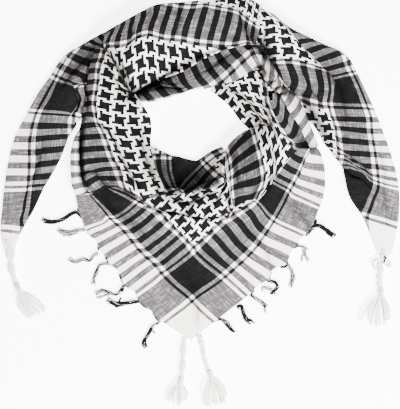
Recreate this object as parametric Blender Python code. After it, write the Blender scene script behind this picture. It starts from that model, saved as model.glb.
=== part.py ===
"""Keffiyeh headscarf: a square cotton cloth folded on the diagonal and laid flat as it is worn.

A triangle with a fringe points forward (-Y), soft folds go round the open neck, and two tails
leave the ring at the back and come forward on each side. Each stretch of the one cloth that
shows is a solid of its own, 1.2 mm thick. They all follow one height of the heap, a whole
number of layers apart, so that none crosses another. Metres, +Z up, resting on z = 0.
"""
import math

import bmesh
import bpy
import numpy as np

STEP = 0.00129       # one step of the plan tables
PLAN_X = 200.31      # plan step that lies on x = 0
PLAN_Y = 202.34      # plan step that lies on y = 0; plan y runs forward, to -Y
WALL = 0.0012        # cloth thickness
LAYER = 0.0026       # rise from one layer of cloth to the next
FLOOR_ROLL = 0.0021  # height of the lower edge of cloth rolled down to the floor
HEM_INSET = 0.5      # share of the first step that the lower half stays back from the edge
BLOCK = 8.5          # wanted side of a mesh face on the cloth, plan steps

# Broad ridges of the heap: half width, then crest points (x, y, height in mm).
RIDGES = {
    "left rise": (48, (112, 60, 11), (112, 85, 13), (117, 110, 14), (122, 135, 14),
                  (127, 160, 14), (140, 186, 14), (156, 207, 12)),
    "cowl": (46, (165, 214, 11), (193, 214, 13), (215, 200, 15), (232, 182, 16),
             (246, 163, 16), (262, 148, 14), (272, 133, 12)),
    "right rise": (38, (272, 133, 12), (262, 113, 11), (250, 97, 10), (238, 84, 9)),
    "top band": (46, (262, 26, 10), (225, 25, 13), (190, 24, 14), (160, 31, 14),
                 (135, 47, 13), (116, 62, 11)),
    "back band": (30, (236, 66, 7), (205, 68, 7), (180, 80, 7), (150, 92, 7)),
    "left tail": (34, (108, 48, 8), (82, 70, 7), (62, 100, 6), (47, 135, 5.5),
                  (33, 170, 5), (22, 205, 4), (13, 235, 2.5), (9, 250, 1.2)),
    "right tail": (40, (262, 26, 10), (290, 50, 9), (322, 85, 7.5), (344, 116, 6.5),
                   (355, 150, 5.5), (364, 186, 5), (380, 222, 3), (388, 252, 1.2)),
}

# Creases between the folds: half width, then points (x, y, depth in mm).
CREASES = {
    "left rise": (10, (95, 122, 2), (107, 128, 3), (114, 138, 3.5), (120, 152, 3),
                  (126, 166, 3), (136, 180, 2)),
    "left of the top band": (10, (102, 42, 3), (109, 57, 4), (118, 77, 4), (129, 91, 3)),
    "first gather": (9, (168, 232, 1), (180, 212, 2.5), (190, 199, 2)),
    "second gather": (9, (196, 240, 1), (203, 222, 3), (208, 204, 2.5)),
    "third gather": (9, (222, 224, 1), (224, 205, 2.5), (222, 188, 2)),
    "cowl side": (9, (239, 204, 1.5), (246, 182, 2.5), (245, 156, 1.5)),
    "strip": (9, (264, 192, 1.5), (268, 170, 3), (271, 150, 2)),
    "knot": (12, (258, 24, 1.5), (261, 38, 2.5), (266, 54, 2)),
    "right tail": (9, (300, 68, 2), (306, 81, 3), (313, 92, 3), (321, 101, 2)),
    "right tail side": (9, (333, 82, 1), (333, 104, 1.5), (338, 124, 1.5), (339, 140, 1)),
    "left tail side": (9, (75, 88, 1), (74, 103, 1.5), (66, 120, 1.5), (64, 135, 1)),
}

# Sections of the cloth. Each row holds the layer at its first and last column, then plan points.
# Tails, tip to ring. Columns: cut edge, outer line, inner line, fold.
LEFT_TAIL = (
    (0, 0, (4.5, 250), (7.5, 251), (10.5, 251), (13.5, 249.5)),
    (0, 0, (1.5, 231), (7, 231.5), (13, 232.5), (18.5, 233)),
    (0, 0, (3, 209), (26.5, 209), (30, 208.3), (33, 207.5)),
    (0, 0, (4.3, 190.5), (29.5, 189.5), (36, 189), (42, 188.5)),
    (0, 0, (8, 164.5), (31, 164.5), (43, 163.5), (54.5, 161.5)),
    (0, 0, (15, 137.5), (32.5, 137.5), (48, 136), (63.5, 134)),
    (0, 0.4, (28.5, 111), (39, 112), (69.5, 114.5), (80, 117)),
    (0, 0.7, (37, 95.5), (47.5, 97), (77, 99), (87, 101)),
    (0, 1, (50, 76.5), (55.5, 79), (75, 86.5), (88, 86)),
    (0, 1, (57.5, 64), (64.5, 68), (91.5, 79), (98, 81)),
    (0.3, 1, (68.5, 53.5), (72.5, 57), (95.5, 67), (102, 69.5)),
    (0.5, 0.8, (79.5, 47), (81.5, 48), (99.5, 53), (107, 56)),
    (0.5, 0.7, (90, 41), (93, 43), (106, 48), (114, 52)),
    (0.6, 0.6, (101, 35), (106, 39), (114, 44), (121, 49)),
    (0.6, 0.6, (118, 25), (122, 30), (128, 37), (133, 43)),
)
# The right tail has one more column, on the flat of the cloth between inner line and fold.
RIGHT_TAIL = (
    (0, 0, (391.5, 254), (388, 256), (384, 257), (380.5, 256), (378.5, 254.5)),
    (0, 0, (396.5, 228.5), (386, 225), (375, 221.5), (369, 219.5), (365, 218)),
    (0, 0, (399, 208), (369.5, 201.5), (361, 199), (356, 198), (352, 197.5)),
    (0, 0, (399, 189.5), (376, 183.5), (362, 172), (350, 167), (342, 167)),
    (0, 0, (398, 179), (375.5, 174.5), (357, 167), (346, 159.5), (337, 158)),
    (0, 0, (391, 153.5), (372.7, 152.5), (344.6, 150), (338, 146.5), (330.5, 143.5)),
    (0, 0.3, (382, 129.5), (369.5, 129.5), (339.5, 127), (333, 126), (325, 126)),
    (0, 0.8, (378, 118.5), (369, 118.4), (336.5, 117.8), (329, 117.5), (319, 117)),
    (0.3, 2, (372.5, 106.5), (365, 105.5), (333, 104.5), (322, 104), (304, 98)),
    (0.6, 2, (365, 91.5), (360, 91.5), (333.5, 93), (318, 90), (286, 84)),
    (1, 2, (356.5, 74), (352.5, 75), (333.5, 80.5), (312, 74), (272.5, 63.5)),
    (1.4, 2.2, (350.5, 63), (347, 64.5), (326, 68), (305, 62), (264, 50.5)),
    (1.8, 3, (341, 53.5), (338, 55), (318, 58.5), (300, 53), (259.5, 41)),
    (2.2, 3, (326, 46), (321, 46.5), (310.5, 48.5), (293, 42), (256, 32)),
    (2.4, 2.8, (312, 39), (308, 39.3), (301, 39.5), (285, 33), (253, 26)),
    (2.6, 2.6, (294, 30), (290, 27.5), (283, 23), (270, 21), (249, 19)),
    (2.6, 2.6, (279, 18), (274, 14), (266, 10), (258, 10), (244, 13)),
)
# Band behind the neck, right to left. Columns: outer fold, upper line, lower line, lower edge.
TOP_BAND = (
    (4.3, 4.3, (262, 7), (259, 27), (256.5, 43), (259, 47)),
    (4.3, 4.3, (251, 1), (247, 20), (244.5, 41.5), (245, 44.5)),
    (4.1, 4.1, (243, 1), (240.5, 15), (233, 43.5), (234.5, 46.5)),
    (3.8, 3.8, (230.5, 1), (229, 11.5), (221, 43), (222.5, 49)),
    (3.6, 3.6, (218, 2), (217, 9), (208.5, 42), (211, 54)),
    (3.5, 3.5, (205.5, 2.5), (205, 6.5), (196, 40.8), (199, 60)),
    (3.5, 3.5, (194, 3), (193.3, 7), (184, 38.5), (187, 68.5)),
    (3.5, 3.5, (181.5, 4.2), (180.5, 8.5), (172, 37), (174, 74)),
    (3.5, 3.5, (169, 5), (168, 9.5), (160.5, 35.5), (161.5, 78)),
    (3.5, 3.5, (157, 6.5), (156, 11), (149.5, 32.5), (151, 82.5)),
    (3.5, 3.5, (145, 11), (144, 15), (139, 35), (141.5, 87)),
    (3.5, 3.5, (134, 16.5), (133, 20), (128, 41), (133, 92)),
    (3.5, 3.5, (123, 22.5), (122, 25.5), (117, 43), (126, 83)),
    (3.5, 3.5, (112, 30.5), (111.5, 32.5), (107, 43.5), (114.5, 62)),
    (3.5, 3.5, (103, 37), (102.8, 38.5), (101.5, 43), (104, 47.5)),
)
# Left rise, front to back. Columns: rolled edge, strip, groove, inner line, middle, neck edge.
LEFT_RISE = (
    (2, 3, (74, 192), (80, 189), (86, 188), (128, 197), (144, 204), (166, 197)),
    (1.6, 3, (71.5, 182), (79, 180), (84, 178), (119, 182), (139, 190), (163, 187)),
    (1, 3, (71, 171), (78, 170), (83, 168.5), (112.5, 168), (135, 176), (159, 177)),
    (1, 3, (71, 160), (78, 160), (82.5, 159.5), (108.5, 158), (132, 164.5), (155, 165)),
    (1, 3, (72, 149), (79, 148.5), (82.5, 148.5), (104.5, 147), (129, 154), (152, 152.5)),
    (1.2, 3, (75, 137.5), (81, 137), (83, 137), (100.5, 136), (126.5, 143), (149.5, 142)),
    (1.6, 2.6, (80, 126.5), (82.5, 126), (84.5, 125.5), (96, 125), (123.5, 131.5), (150, 130)),
    (2, 2.4, (83.5, 114.5), (85.2, 114.5), (87, 114), (94.5, 113.5), (121.5, 120), (149, 119)),
    (2, 2.3, (86, 103), (87.7, 103), (89.5, 102.5), (94, 102), (119.5, 108), (144.5, 110.5)),
    (2, 2.2, (88, 92), (89.7, 91.5), (91.4, 91.5), (94.8, 91), (116.5, 97), (138.5, 102)),
    (2, 2.2, (90, 80.5), (91.4, 80.3), (92.8, 80.3), (96, 80), (113.5, 86), (131, 94)),
    (2, 2.2, (91, 70), (92.5, 69.8), (93.8, 69.8), (96.2, 69.5), (110, 75), (124.5, 82.5)),
    (2, 2.2, (93, 59.5), (94.4, 59.5), (95.6, 59.5), (98, 59), (107, 62), (117, 68)),
    (2, 2.2, (96, 49), (97.2, 49), (98.4, 49), (100, 49), (104.5, 51), (110, 54)),
)
# Front, on lines of the weave. Rows: height up the left side in cm of cloth, then the columns
# cut edge, outer line (4.95 cm), inner line (9.15 cm), hidden edge (10.6 cm).
FRONT_COLUMNS = (0, 4.95, 9.15, 10.6)
FRONT_LEFT_ROWS = (0, 4.95, 9.15, 10.6, 13.49, 16.13, 18.85, 21.0, 22.95)
FRONT_LEFT = (
    (1, 1, (191, 341), (216, 321), (244, 299), (253.5, 292)),
    (1, 1, (161.5, 321), (191.5, 298.5), (220.5, 278), (229.5, 270)),
    (1, 1, (136.5, 296.5), (166, 275), (193, 254.5), (202, 246)),
    (1, 1, (129, 288), (158, 265), (184.5, 243), (193, 236)),
    (1, 1, (115, 268.5), (141.8, 250), (169, 229), (177, 221)),
    (1, 1, (100, 247.5), (126.5, 232), (151, 214.5), (158, 208)),
    (1, 1, (87.5, 228), (111.5, 218.5), (133, 203), (139.5, 197)),
    (1, 1, (79, 210), (101, 206.5), (118.5, 194.5), (125, 189)),
    (1, 1, (74.5, 195.5), (90.5, 195), (103.5, 187), (109, 182)),
)
# The right arm of the front, from the hidden edge of the left one up to the back.
FRONT_RIGHT_ROWS = (10.6, 13.88, 16.6, 18.75, 20.9, 22.95, 24.9, 26.6, 28.4, 30.0, 31.4, 32.9,
                    34.4, 35.9)
FRONT_RIGHT = (
    (1, 1, (253.5, 292), (229.5, 270), (202, 246), (193, 236)),
    (1, 1, (272.5, 270), (247, 254), (220, 229), (212, 221)),
    (1, 1, (291, 250), (262, 236), (240, 215.5), (232, 208)),
    (1, 1, (302.5, 236), (272, 221), (256, 204.5), (249, 198)),
    (1, 1, (314.5, 219), (281, 205), (265, 192.5), (258, 187)),
    (0.8, 0.8, (321, 205), (289, 189.5), (273.5, 181), (266, 176)),
    (0.5, 0.5, (325, 190), (294.5, 179.5), (280, 172), (272, 167)),
    (0.2, 0.2, (325.5, 177), (299.5, 170.5), (286, 163), (279, 157)),
    (0, 0, (323.5, 161), (306, 159.5), (293, 154), (286, 148)),
    (0, 0, (319, 149), (309, 143), (294, 144), (285, 139)),
    (0, 0, (308, 136), (299, 125), (288, 137.5), (279, 132)),
    (0, 0, (299, 122), (290, 112), (282, 127.5), (273, 122)),
    (0, 0, (290, 106), (281, 98), (275.5, 116), (266, 111)),
    (0, 0, (281, 93), (275, 90), (270, 103), (261, 99)),
)
# Cowl, from the inner line of the left side round to the right rise.
# Columns: outer edge, two on the flat of the cloth, neck edge.
COWL = (
    (2, 2, (193, 254), (178, 237.5), (163, 224), (147, 211.5)),
    (2, 2, (205, 242.5), (190, 225.5), (176, 212), (161, 200)),
    (2, 2, (219, 230), (205, 213), (190, 202.5), (174, 195.5)),
    (2, 2, (230, 219.5), (221, 203), (209, 193), (196, 190)),
    (2, 2, (233.5, 213), (228.5, 196), (220.5, 180), (207, 173)),
    (2, 2, (234.6, 209), (231.9, 191), (230.2, 173), (225.8, 150.5)),
    (2, 2, (243, 204.5), (244, 187), (243, 166), (238, 138)),
    (2, 2, (251, 200), (258, 183), (261, 164), (251.5, 130)),
    (2, 2, (264, 198), (269, 178), (269, 157), (260, 129)),
    (2, 2, (273, 181), (276, 167), (274, 150), (265, 129)),
    (2, 2, (285, 162.5), (284, 151), (280, 139), (271, 127)),
    (2, 2, (297, 151), (292, 142), (286, 133), (278, 124)),
)
# Inner cowl, left to right. Columns: neck edge, two on the flat of the cloth, hidden edge.
INNER_COWL = (
    (0.6, 0.6, (154, 151), (156, 163), (160, 182), (163, 198)),
    (0.6, 0.6, (160, 153), (163, 164), (167, 181), (171, 198)),
    (0.6, 0.6, (167, 154.5), (169, 165), (173, 181), (178, 198)),
    (0.6, 0.6, (176, 157.5), (177, 167), (179, 181), (184, 197)),
    (0.6, 0.6, (187, 160), (186, 170), (186, 181), (190, 196)),
    (0.6, 0.6, (198, 161.5), (196, 171), (195, 181), (197, 194)),
    (0.6, 0.6, (209, 158), (207, 168), (206, 179), (206, 191)),
    (0.6, 0.6, (218, 155), (217, 165), (216, 177), (214, 189)),
)
# Right rise, front to back. Columns: inner line, two on the flat of the cloth, neck edge.
RIGHT_RISE = (
    (1, 1, (289, 150), (281, 140), (272, 132), (253, 132)),
    (1, 1, (284, 136), (273, 127), (260, 119), (244, 121.5)),
    (1, 1, (277, 119), (266, 112), (253, 106), (235, 110.5)),
    (1, 1, (270, 103.5), (259, 98), (245, 94), (228, 102)),
    (1, 1, (266, 88), (254, 84), (239, 84), (219, 95)),
    (1, 1, (262, 74), (249, 72), (232, 76), (211.5, 89)),
)
# Inner band of the back, left to right. Columns: hidden edge, bars, outer line, cut edge.
BACK_BAND = (
    (1, 1, (138, 80), (140, 89), (143, 96), (146.5, 102.5)),
    (1, 1, (148, 77), (150, 86), (152, 93), (154, 100)),
    (1, 1, (160, 73), (162, 82), (164, 89.5), (166, 96.5)),
    (1, 1, (175, 66), (177, 76), (179, 85), (181, 92.5)),
    (1, 1, (190, 56), (193, 68), (196, 79), (198.5, 87)),
    (1.6, 2, (204, 49), (209, 60), (214, 72), (219, 80.5)),
    (2, 2, (218, 44), (222, 52), (229, 62), (238, 71)),
    (2, 2, (233, 41), (236, 48), (244, 57), (254, 66)),
    (2, 2, (247, 39), (251, 47), (257, 54), (264, 68)),
    (2, 2, (255, 45), (259, 51), (263, 60), (267, 76)),
)
# Margin turned over the right rise, back to front. Columns: fold, two between, cut edge.
TURNED_MARGIN = (
    (3.2, 3.2, (261, 54), (262, 60), (261, 67), (259.5, 73)),
    (3.2, 3.2, (268.5, 61), (269, 69), (269, 77), (268, 84)),
    (3.2, 3.2, (279, 72.5), (279, 79), (277.5, 85), (275, 91)),
    (3.2, 3.2, (292, 84.5), (289, 90), (285.5, 94.5), (282, 98)),
    (3.2, 2.4, (303.5, 98), (299, 103), (294, 107), (288.5, 110)),
    (2.4, 2, (312, 113), (308, 117), (303, 121), (298, 123)),
    (2, 2, (318, 130), (315, 133), (311, 136), (306.5, 138)),
    (2, 2, (321, 146), (319, 148), (317, 150), (314.5, 152)),
)
# Folds hidden in the ring, clockwise from the back: inner plan point, outer plan point.
RING_FOLDS = (
    ((205, 81), (207, 16)), ((222, 88), (250, 20)), ((237, 103), (272, 66)),
    ((249, 119), (285, 108)), ((257, 138), (296, 138)), ((247, 150), (290, 165)),
    ((230, 162), (268, 196)), ((207, 172), (238, 226)), ((184, 172), (193, 240)),
    ((165, 166), (152, 214)), ((146, 152), (112, 189)), ((141, 130), (94, 160)),
    ((136, 111), (98, 122)), ((143, 95), (103, 82)), ((162, 87), (118, 48)),
    ((183, 82), (155, 21)),
)

# Fringe. Each lock: distance along the edge table, then plan points; width in plan steps.
LEFT_FRINGE_EDGE = ((75.5, 197), (80.5, 211), (89, 228.5), (101.5, 247.5), (116.5, 268.5),
                    (130.5, 287.5), (138, 296), (157, 315), (166, 323))
RIGHT_FRINGE_EDGE = ((316.5, 211), (313, 218.5), (301, 236), (289.5, 250), (271, 270),
                     (252.5, 290.5), (236, 304), (216, 318), (206, 326))
LEFT_LOCKS = (
    (2.2, ((76, 213), (66, 221), (54, 223.5), (43, 221), (38, 217.5))),
    (2.0, ((83, 229), (76, 231.5), (66, 232.5), (56, 228.5))),
    (1.8, ((95, 254), (89, 260.5), (80, 262), (69, 258))),
    (1.8, ((108, 266), (102, 264), (96, 272), (92.5, 280), (92.5, 288))),
    (1.8, ((121, 288), (115, 294), (105, 291.5), (93, 295))),
    (2.4, ((136, 303), (129, 303), (117, 304.5), (106, 299.5))),
    (2.0, ((157, 323), (151.5, 329), (148, 336), (144.5, 342), (147, 349))),
)
RIGHT_LOCKS = (
    (2.4, ((315, 224.5), (321, 226), (329, 230), (334, 235), (338, 237.5))),
    (1.8, ((299, 247), (304, 248.5), (308, 253), (311, 261))),
    (1.8, ((289, 265), (292, 269), (294, 278), (290.5, 287))),
    (1.8, ((274, 282.5), (278, 286), (274.5, 291), (269, 296.5), (263, 293))),
    (1.8, ((256, 297), (260, 301), (266, 306), (268.5, 313))),
    (2.4, ((241, 309.5), (243, 314), (246, 319), (251, 322.5), (253.5, 327))),
    (2.0, ((222, 322.5), (227, 326.5), (231, 330), (237.5, 332.5))),
)

# Corner tassels. Cord sections (x, y, width, height in mm), then the skirt's end from left to
# right seen from the cord, and its height on the floor.
FRONT_LEFT_TASSEL = (
    ((186.5, 343, 6.5, 3.6), (183, 350, 5.5, 4), (182.5, 361, 5.5, 4), (181.5, 371, 5.5, 4),
     (180.5, 377, 7.5, 5), (180, 381, 8.5, 5.5), (179, 385, 10, 5)),
    ((186.5, 402), (181, 404.5), (175, 404.5), (168.5, 402)),
)
FRONT_RIGHT_TASSEL = (
    ((197.5, 343, 6.5, 3.6), (202, 350, 5.5, 4), (205, 359, 5.5, 4), (208, 367, 5.5, 4),
     (210, 372, 7.5, 5), (211, 376, 8.5, 5.5), (212.5, 380, 10, 5)),
    ((230, 401), (222, 405), (211, 406), (201.5, 403)),
)
LEFT_TAIL_TASSEL = (
    ((8.5, 254.5, 6.5, 3), (9, 261, 5.5, 4), (10.5, 269, 5.5, 4), (13, 277, 5.5, 4),
     (16, 284, 7, 5), (18, 289, 8.5, 5.5), (20, 293.5, 10, 5)),
    ((46, 309), (41, 315), (33, 319), (24, 317)),
)
RIGHT_TAIL_TASSEL = (
    ((384.5, 260.5, 7, 3.2), (383, 266, 10, 6), (382, 272, 6.5, 4.5), (381, 280, 5.5, 4),
     (380.5, 287, 7.5, 5), (379.5, 291.5, 8.5, 5.5), (379, 296, 10, 5)),
    ((391, 318), (382, 325), (371, 327), (360, 320)),
)
SKIRT_ACROSS = 5   # strands across a corner tassel
SKIRT_DEEP = 2     # strands one above the other


def finish(name, colour, roughness):
    """One Principled material from an sRGB hex colour."""
    material = bpy.data.materials.new(name)
    material.use_nodes = True
    shader = material.node_tree.nodes["Principled BSDF"]
    levels = [int(colour[i : i + 2], 16) / 255 for i in (1, 3, 5)]
    linear = [v / 12.92 if v <= 0.04045 else ((v + 0.055) / 1.055) ** 2.4 for v in levels]
    shader.inputs["Base Color"].default_value = (*linear, 1)
    shader.inputs["Roughness"].default_value = roughness
    material.diffuse_color = (*linear, 1)
    return material


def bump(x, y, half_width, points):
    """A round ridge over the polyline: full height on it, nothing from the half width out."""
    best = np.zeros_like(x)
    for (x0, y0, h0), (x1, y1, h1) in zip(points, points[1:]):
        dx, dy = x1 - x0, y1 - y0
        along = ((x - x0) * dx + (y - y0) * dy) / (dx * dx + dy * dy)
        along = np.clip(along, 0, 1)
        away = np.hypot(x - x0 - along * dx, y - y0 - along * dy)
        round_off = 0.5 + 0.5 * np.cos(np.pi * np.clip(away / half_width, 0, 1))
        best = np.maximum(best, (h0 + along * (h1 - h0)) * round_off)
    return best


def relief(x, y):
    """Height in metres of the lowest layer of cloth at a plan point."""
    ridges = sum(bump(x, y, r[0], r[1:]) ** 3 for r in RIDGES.values()) ** (1 / 3)
    creases = sum(bump(x, y, c[0], c[1:]) for c in CREASES.values())
    return WALL + 0.001 * np.maximum(ridges - creases, 0)


def resample(points, knots, at):
    """Cubic curves through the points (rows, ...), each row at its knot, read off at `at`."""
    knots, at = np.asarray(knots, float), np.asarray(at, float)
    slope = np.gradient(points, knots, axis=0)
    low = np.clip(np.searchsorted(knots, at, side="right") - 1, 0, len(knots) - 2)
    wide = (-1,) + (1,) * (points.ndim - 1)
    gap = (knots[low + 1] - knots[low]).reshape(wide)
    s = ((at - knots[low])).reshape(wide) / gap
    return (
        points[low] * (2 * s**3 - 3 * s**2 + 1)
        + points[low + 1] * (3 * s**2 - 2 * s**3)
        + slope[low] * gap * (s**3 - 2 * s**2 + s)
        + slope[low + 1] * gap * (s**3 - s**2)
    )


def table_points(table):
    """Control points (rows, columns, 3): plan x, plan y and layer."""
    rows = []
    for first, last, *points in table:
        layers = np.linspace(first, last, len(points))
        rows.append([(x, y, layer) for (x, y), layer in zip(points, layers)])
    return np.array(rows, float)


def mean_knots(points):
    """Knots along the first axis, at the mean plan distance between its neighbours."""
    steps = np.linalg.norm(np.diff(points[..., :2], axis=0), axis=-1).mean(axis=1)
    return np.concatenate([[0], np.cumsum(steps)])


def spread(knots, block=BLOCK):
    """Evenly spaced places between the first and last knot, about a block apart."""
    count = max(2, round((knots[-1] - knots[0]) / block) + 1)
    return np.linspace(knots[0], knots[-1], count)


def plan_grid(table):
    """The table as an even grid of plan points and layers."""
    points = table_points(table)
    rows = mean_knots(points)
    points = resample(points, rows, spread(rows))
    points = points.transpose(1, 0, 2)
    columns = mean_knots(points)
    return resample(points, columns, spread(columns)).transpose(1, 0, 2)


def placed(grid):
    """The grid of plan points and layers in metres."""
    x, y, layer = grid[..., 0], grid[..., 1], grid[..., 2]
    height = relief(x, y) + layer * LAYER
    return np.stack([(x - PLAN_X) * STEP, (PLAN_Y - y) * STEP, height], axis=-1)


def rolled(grid, last_column, first_row, last_row):
    """The grid with one side edge rolled down: to the floor between the two fractions of its
    length, and only a little outside them."""
    lines = grid if last_column else grid[:, ::-1]
    edge, before = lines[:, -1], lines[:, -2]
    out = (edge - before)[:, :2]
    out = out / np.linalg.norm(out, axis=1, keepdims=True)
    place = np.linspace(0, 1, len(edge))
    inside = np.clip((place - first_row) / 0.04 + 0.5, 0, 1)
    inside = inside * np.clip((last_row - place) / 0.04 + 0.5, 0, 1)
    full = np.maximum(edge[:, 2] - FLOOR_ROLL, 0.0004)
    drop = np.where(inside > 0.99, full, np.minimum(full, 0.0005))
    added = []
    for reach, share in ((0.0012, 0.16), (0.0017, 0.55), (0.0015, 1.0)):
        reach = reach * np.minimum(1, drop / 0.004)
        line = edge.copy()
        line[:, :2] += out * reach[:, None]
        line[:, 2] -= drop * share
        added.append(line[:, None])
    lines = np.concatenate([lines, *added], axis=1)
    return lines if last_column else lines[:, ::-1]


def mesh_object(name, corners, faces, material):
    mesh = bpy.data.meshes.new(name)
    mesh.from_pydata([tuple(p) for p in corners], [], faces)
    mesh.materials.append(material)
    made = bpy.data.objects.new(name, mesh)
    bpy.context.collection.objects.link(made)
    return made


def cloth(name, grids, material, wall=WALL):
    """A solid of cloth: the grids' faces on top, the same a wall deeper, and its edges."""
    sheet = bmesh.new()
    found = {}

    def corner(point):
        key = tuple(np.round(point, 7))
        if key not in found:
            found[key] = sheet.verts.new(key)
        return found[key]

    for grid in grids:
        up = np.cross(grid[1, 0] - grid[0, 0], grid[0, 1] - grid[0, 0])[2] > 0
        for i in range(grid.shape[0] - 1):
            for j in range(grid.shape[1] - 1):
                loop = [grid[i, j], grid[i + 1, j], grid[i + 1, j + 1], grid[i, j + 1]]
                sheet.faces.new([corner(p) for p in (loop if up else loop[::-1])])
    sheet.normal_update()
    sheet.verts.index_update()
    top = [v.co.copy() for v in sheet.verts]
    under = [v.co - v.normal * wall for v in sheet.verts]
    count = len(top)
    faces = []
    for face in sheet.faces:
        loop = [v.index for v in face.verts]
        faces.append(loop)
        faces.append([i + count for i in reversed(loop)])
    for edge in sheet.edges:
        if len(edge.link_faces) == 1:
            loop = [v.index for v in edge.link_faces[0].verts]
            a, b = (v.index for v in edge.verts)
            if loop[(loop.index(a) + 1) % len(loop)] != b:
                a, b = b, a
            faces.append([b, a, a + count, b + count])
    sheet.free()
    return mesh_object(name, top + under, faces, material)


def front_grids():
    """The left side and the right arm of the front, sharing the line where they meet."""
    columns = np.array([0, 1.24, 2.48, 3.71, 4.95, 6.0, 7.05, 8.1, 9.15, 10.6])
    left_rows = np.concatenate([columns, [12.05, 13.49, 14.8, 16.13, 17.5, 18.85, 20, 21, 22.95]])
    left = resample(table_points(FRONT_LEFT), FRONT_LEFT_ROWS, left_rows)
    left = resample(left.transpose(1, 0, 2), FRONT_COLUMNS, columns).transpose(1, 0, 2)
    right_rows = np.linspace(FRONT_RIGHT_ROWS[0], FRONT_RIGHT_ROWS[-1], 24)
    right = resample(table_points(FRONT_RIGHT), FRONT_RIGHT_ROWS, right_rows)
    right = resample(right.transpose(1, 0, 2), FRONT_COLUMNS, columns).transpose(1, 0, 2)
    right[0] = left[: len(columns), -1]
    return left, right


def lower_front_grids(left, right):
    """The lower half of the folded cloth: the upper one's points a layer down, its cut edges
    drawn back. It stops where the ring begins."""
    left, right = left[:16].copy(), right[:8].copy()
    left[0] += HEM_INSET * (left[1] - left[0])
    left[:, 0] += HEM_INSET * (left[:, 1] - left[:, 0])
    right[:, 0] += HEM_INSET * (right[:, 1] - right[:, 0])
    for grid in (left, right):
        grid[..., 2] = np.maximum(grid[..., 2] - 1, 0)
    return left, right


def filled(name, grid, material, closed):
    """A rounded solid on the floor: the grid on top, and one flat face under it."""
    rows, columns = grid.shape[:2]
    floor = grid[:, [0, -1]].copy()
    floor[..., 2] = 0
    corners = list(grid.reshape(-1, 3)) + list(floor.reshape(-1, 3))
    base = rows * columns

    def top(i, j):
        return (i % rows) * columns + j

    def low(i, j):
        return base + (i % rows) * 2 + j

    faces = []
    for i in range(rows if closed else rows - 1):
        for j in range(columns - 1):
            faces.append([top(i, j), top(i + 1, j), top(i + 1, j + 1), top(i, j + 1)])
        faces.append([top(i, 0), low(i, 0), low(i + 1, 0), top(i + 1, 0)])
        faces.append([top(i + 1, columns - 1), low(i + 1, 1), low(i, 1), top(i, columns - 1)])
        faces.append([low(i, 0), low(i, 1), low(i + 1, 1), low(i + 1, 0)])
    if not closed:
        faces.append([top(0, j) for j in range(columns)] + [low(0, 1), low(0, 0)])
        end = rows - 1
        faces.append([low(end, 0), low(end, 1)] + [top(end, j) for j in reversed(range(columns))])
    made = mesh_object(name, corners, faces, material)
    outward(made)
    return made


def outward(made):
    """Turns all the faces of a closed mesh outwards."""
    work = bmesh.new()
    work.from_mesh(made.data)
    bmesh.ops.recalc_face_normals(work, faces=work.faces)
    if work.calc_volume(signed=True) < 0:
        bmesh.ops.reverse_faces(work, faces=work.faces)
    work.to_mesh(made.data)
    work.free()


def ring_folds(material):
    """The folds that lie hidden in the ring, as one rounded solid round the neck."""
    loop = np.array(RING_FOLDS, float)
    loop = np.concatenate([loop[-2:], loop, loop[:3]])
    knots = mean_knots(loop)
    at = np.linspace(knots[2], knots[-3], 41)[:-1]
    sides = resample(loop, knots, at)
    across = np.array([0, 0.04, 0.16, 0.32, 0.5, 0.68, 0.84, 0.96, 1])[None, :, None]
    plan = sides[:, :1] * (1 - across) + sides[:, 1:] * across
    x, y = plan[..., 0], plan[..., 1]
    height = np.maximum(relief(x, y) - LAYER, 0.0012)
    height[:, [0, -1]] = np.minimum(0.5 * height[:, [0, -1]], 0.003)
    grid = np.stack([(x - PLAN_X) * STEP, (PLAN_Y - y) * STEP, height], axis=-1)
    return filled("ring_folds", grid, material, closed=True)


def tail_folds(name, plan, first, last, material):
    """The folds that lie hidden in a tail, under the middle of its cloth."""
    rows = plan[first:last]
    across = np.array([0.2, 0.25, 0.38, 0.5, 0.62, 0.75, 0.8])[None, :, None]
    sides = rows[:, :1] * (1 - across) + rows[:, -1:] * across
    x, y = sides[..., 0], sides[..., 1]
    height = np.maximum(relief(x, y) - LAYER, 0.0011)
    height[:, [0, -1]] *= 0.5
    height[[0, -1]] *= 0.5
    grid = np.stack([(x - PLAN_X) * STEP, (PLAN_Y - y) * STEP, height], axis=-1)
    return filled(name, grid, material, closed=False)


def metres(x, y, z=0.0):
    return np.array([(x - PLAN_X) * STEP, (PLAN_Y - y) * STEP, z])


def strand(corners, faces, start, points, widths, heights):
    """Grows a four-sided strand from a loop of four corner numbers, and closes its end."""
    ring = list(start)
    across = (corners[start[0]] - corners[start[1]])[:2]
    ahead = points[2] - points[0]
    turn = math.copysign(1, ahead[0] * across[1] - ahead[1] * across[0])
    for k in range(1, len(points)):
        ahead = points[min(k + 1, len(points) - 1)] - points[k - 1]
        side = np.array([-ahead[1], ahead[0], 0.0])
        side = side / np.linalg.norm(side) * turn * widths[k] / 2
        rise = np.array([0, 0, heights[k] / 2])
        first = len(corners)
        centre = points[k]
        corners += [centre + side - rise, centre - side - rise,
                    centre - side + rise, centre + side + rise]
        new = [first, first + 1, first + 2, first + 3]
        for a in range(4):
            b = (a + 1) % 4
            faces.append([ring[a], ring[b], new[b], new[a]])
        ring = new
    faces.append(ring)


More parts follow.
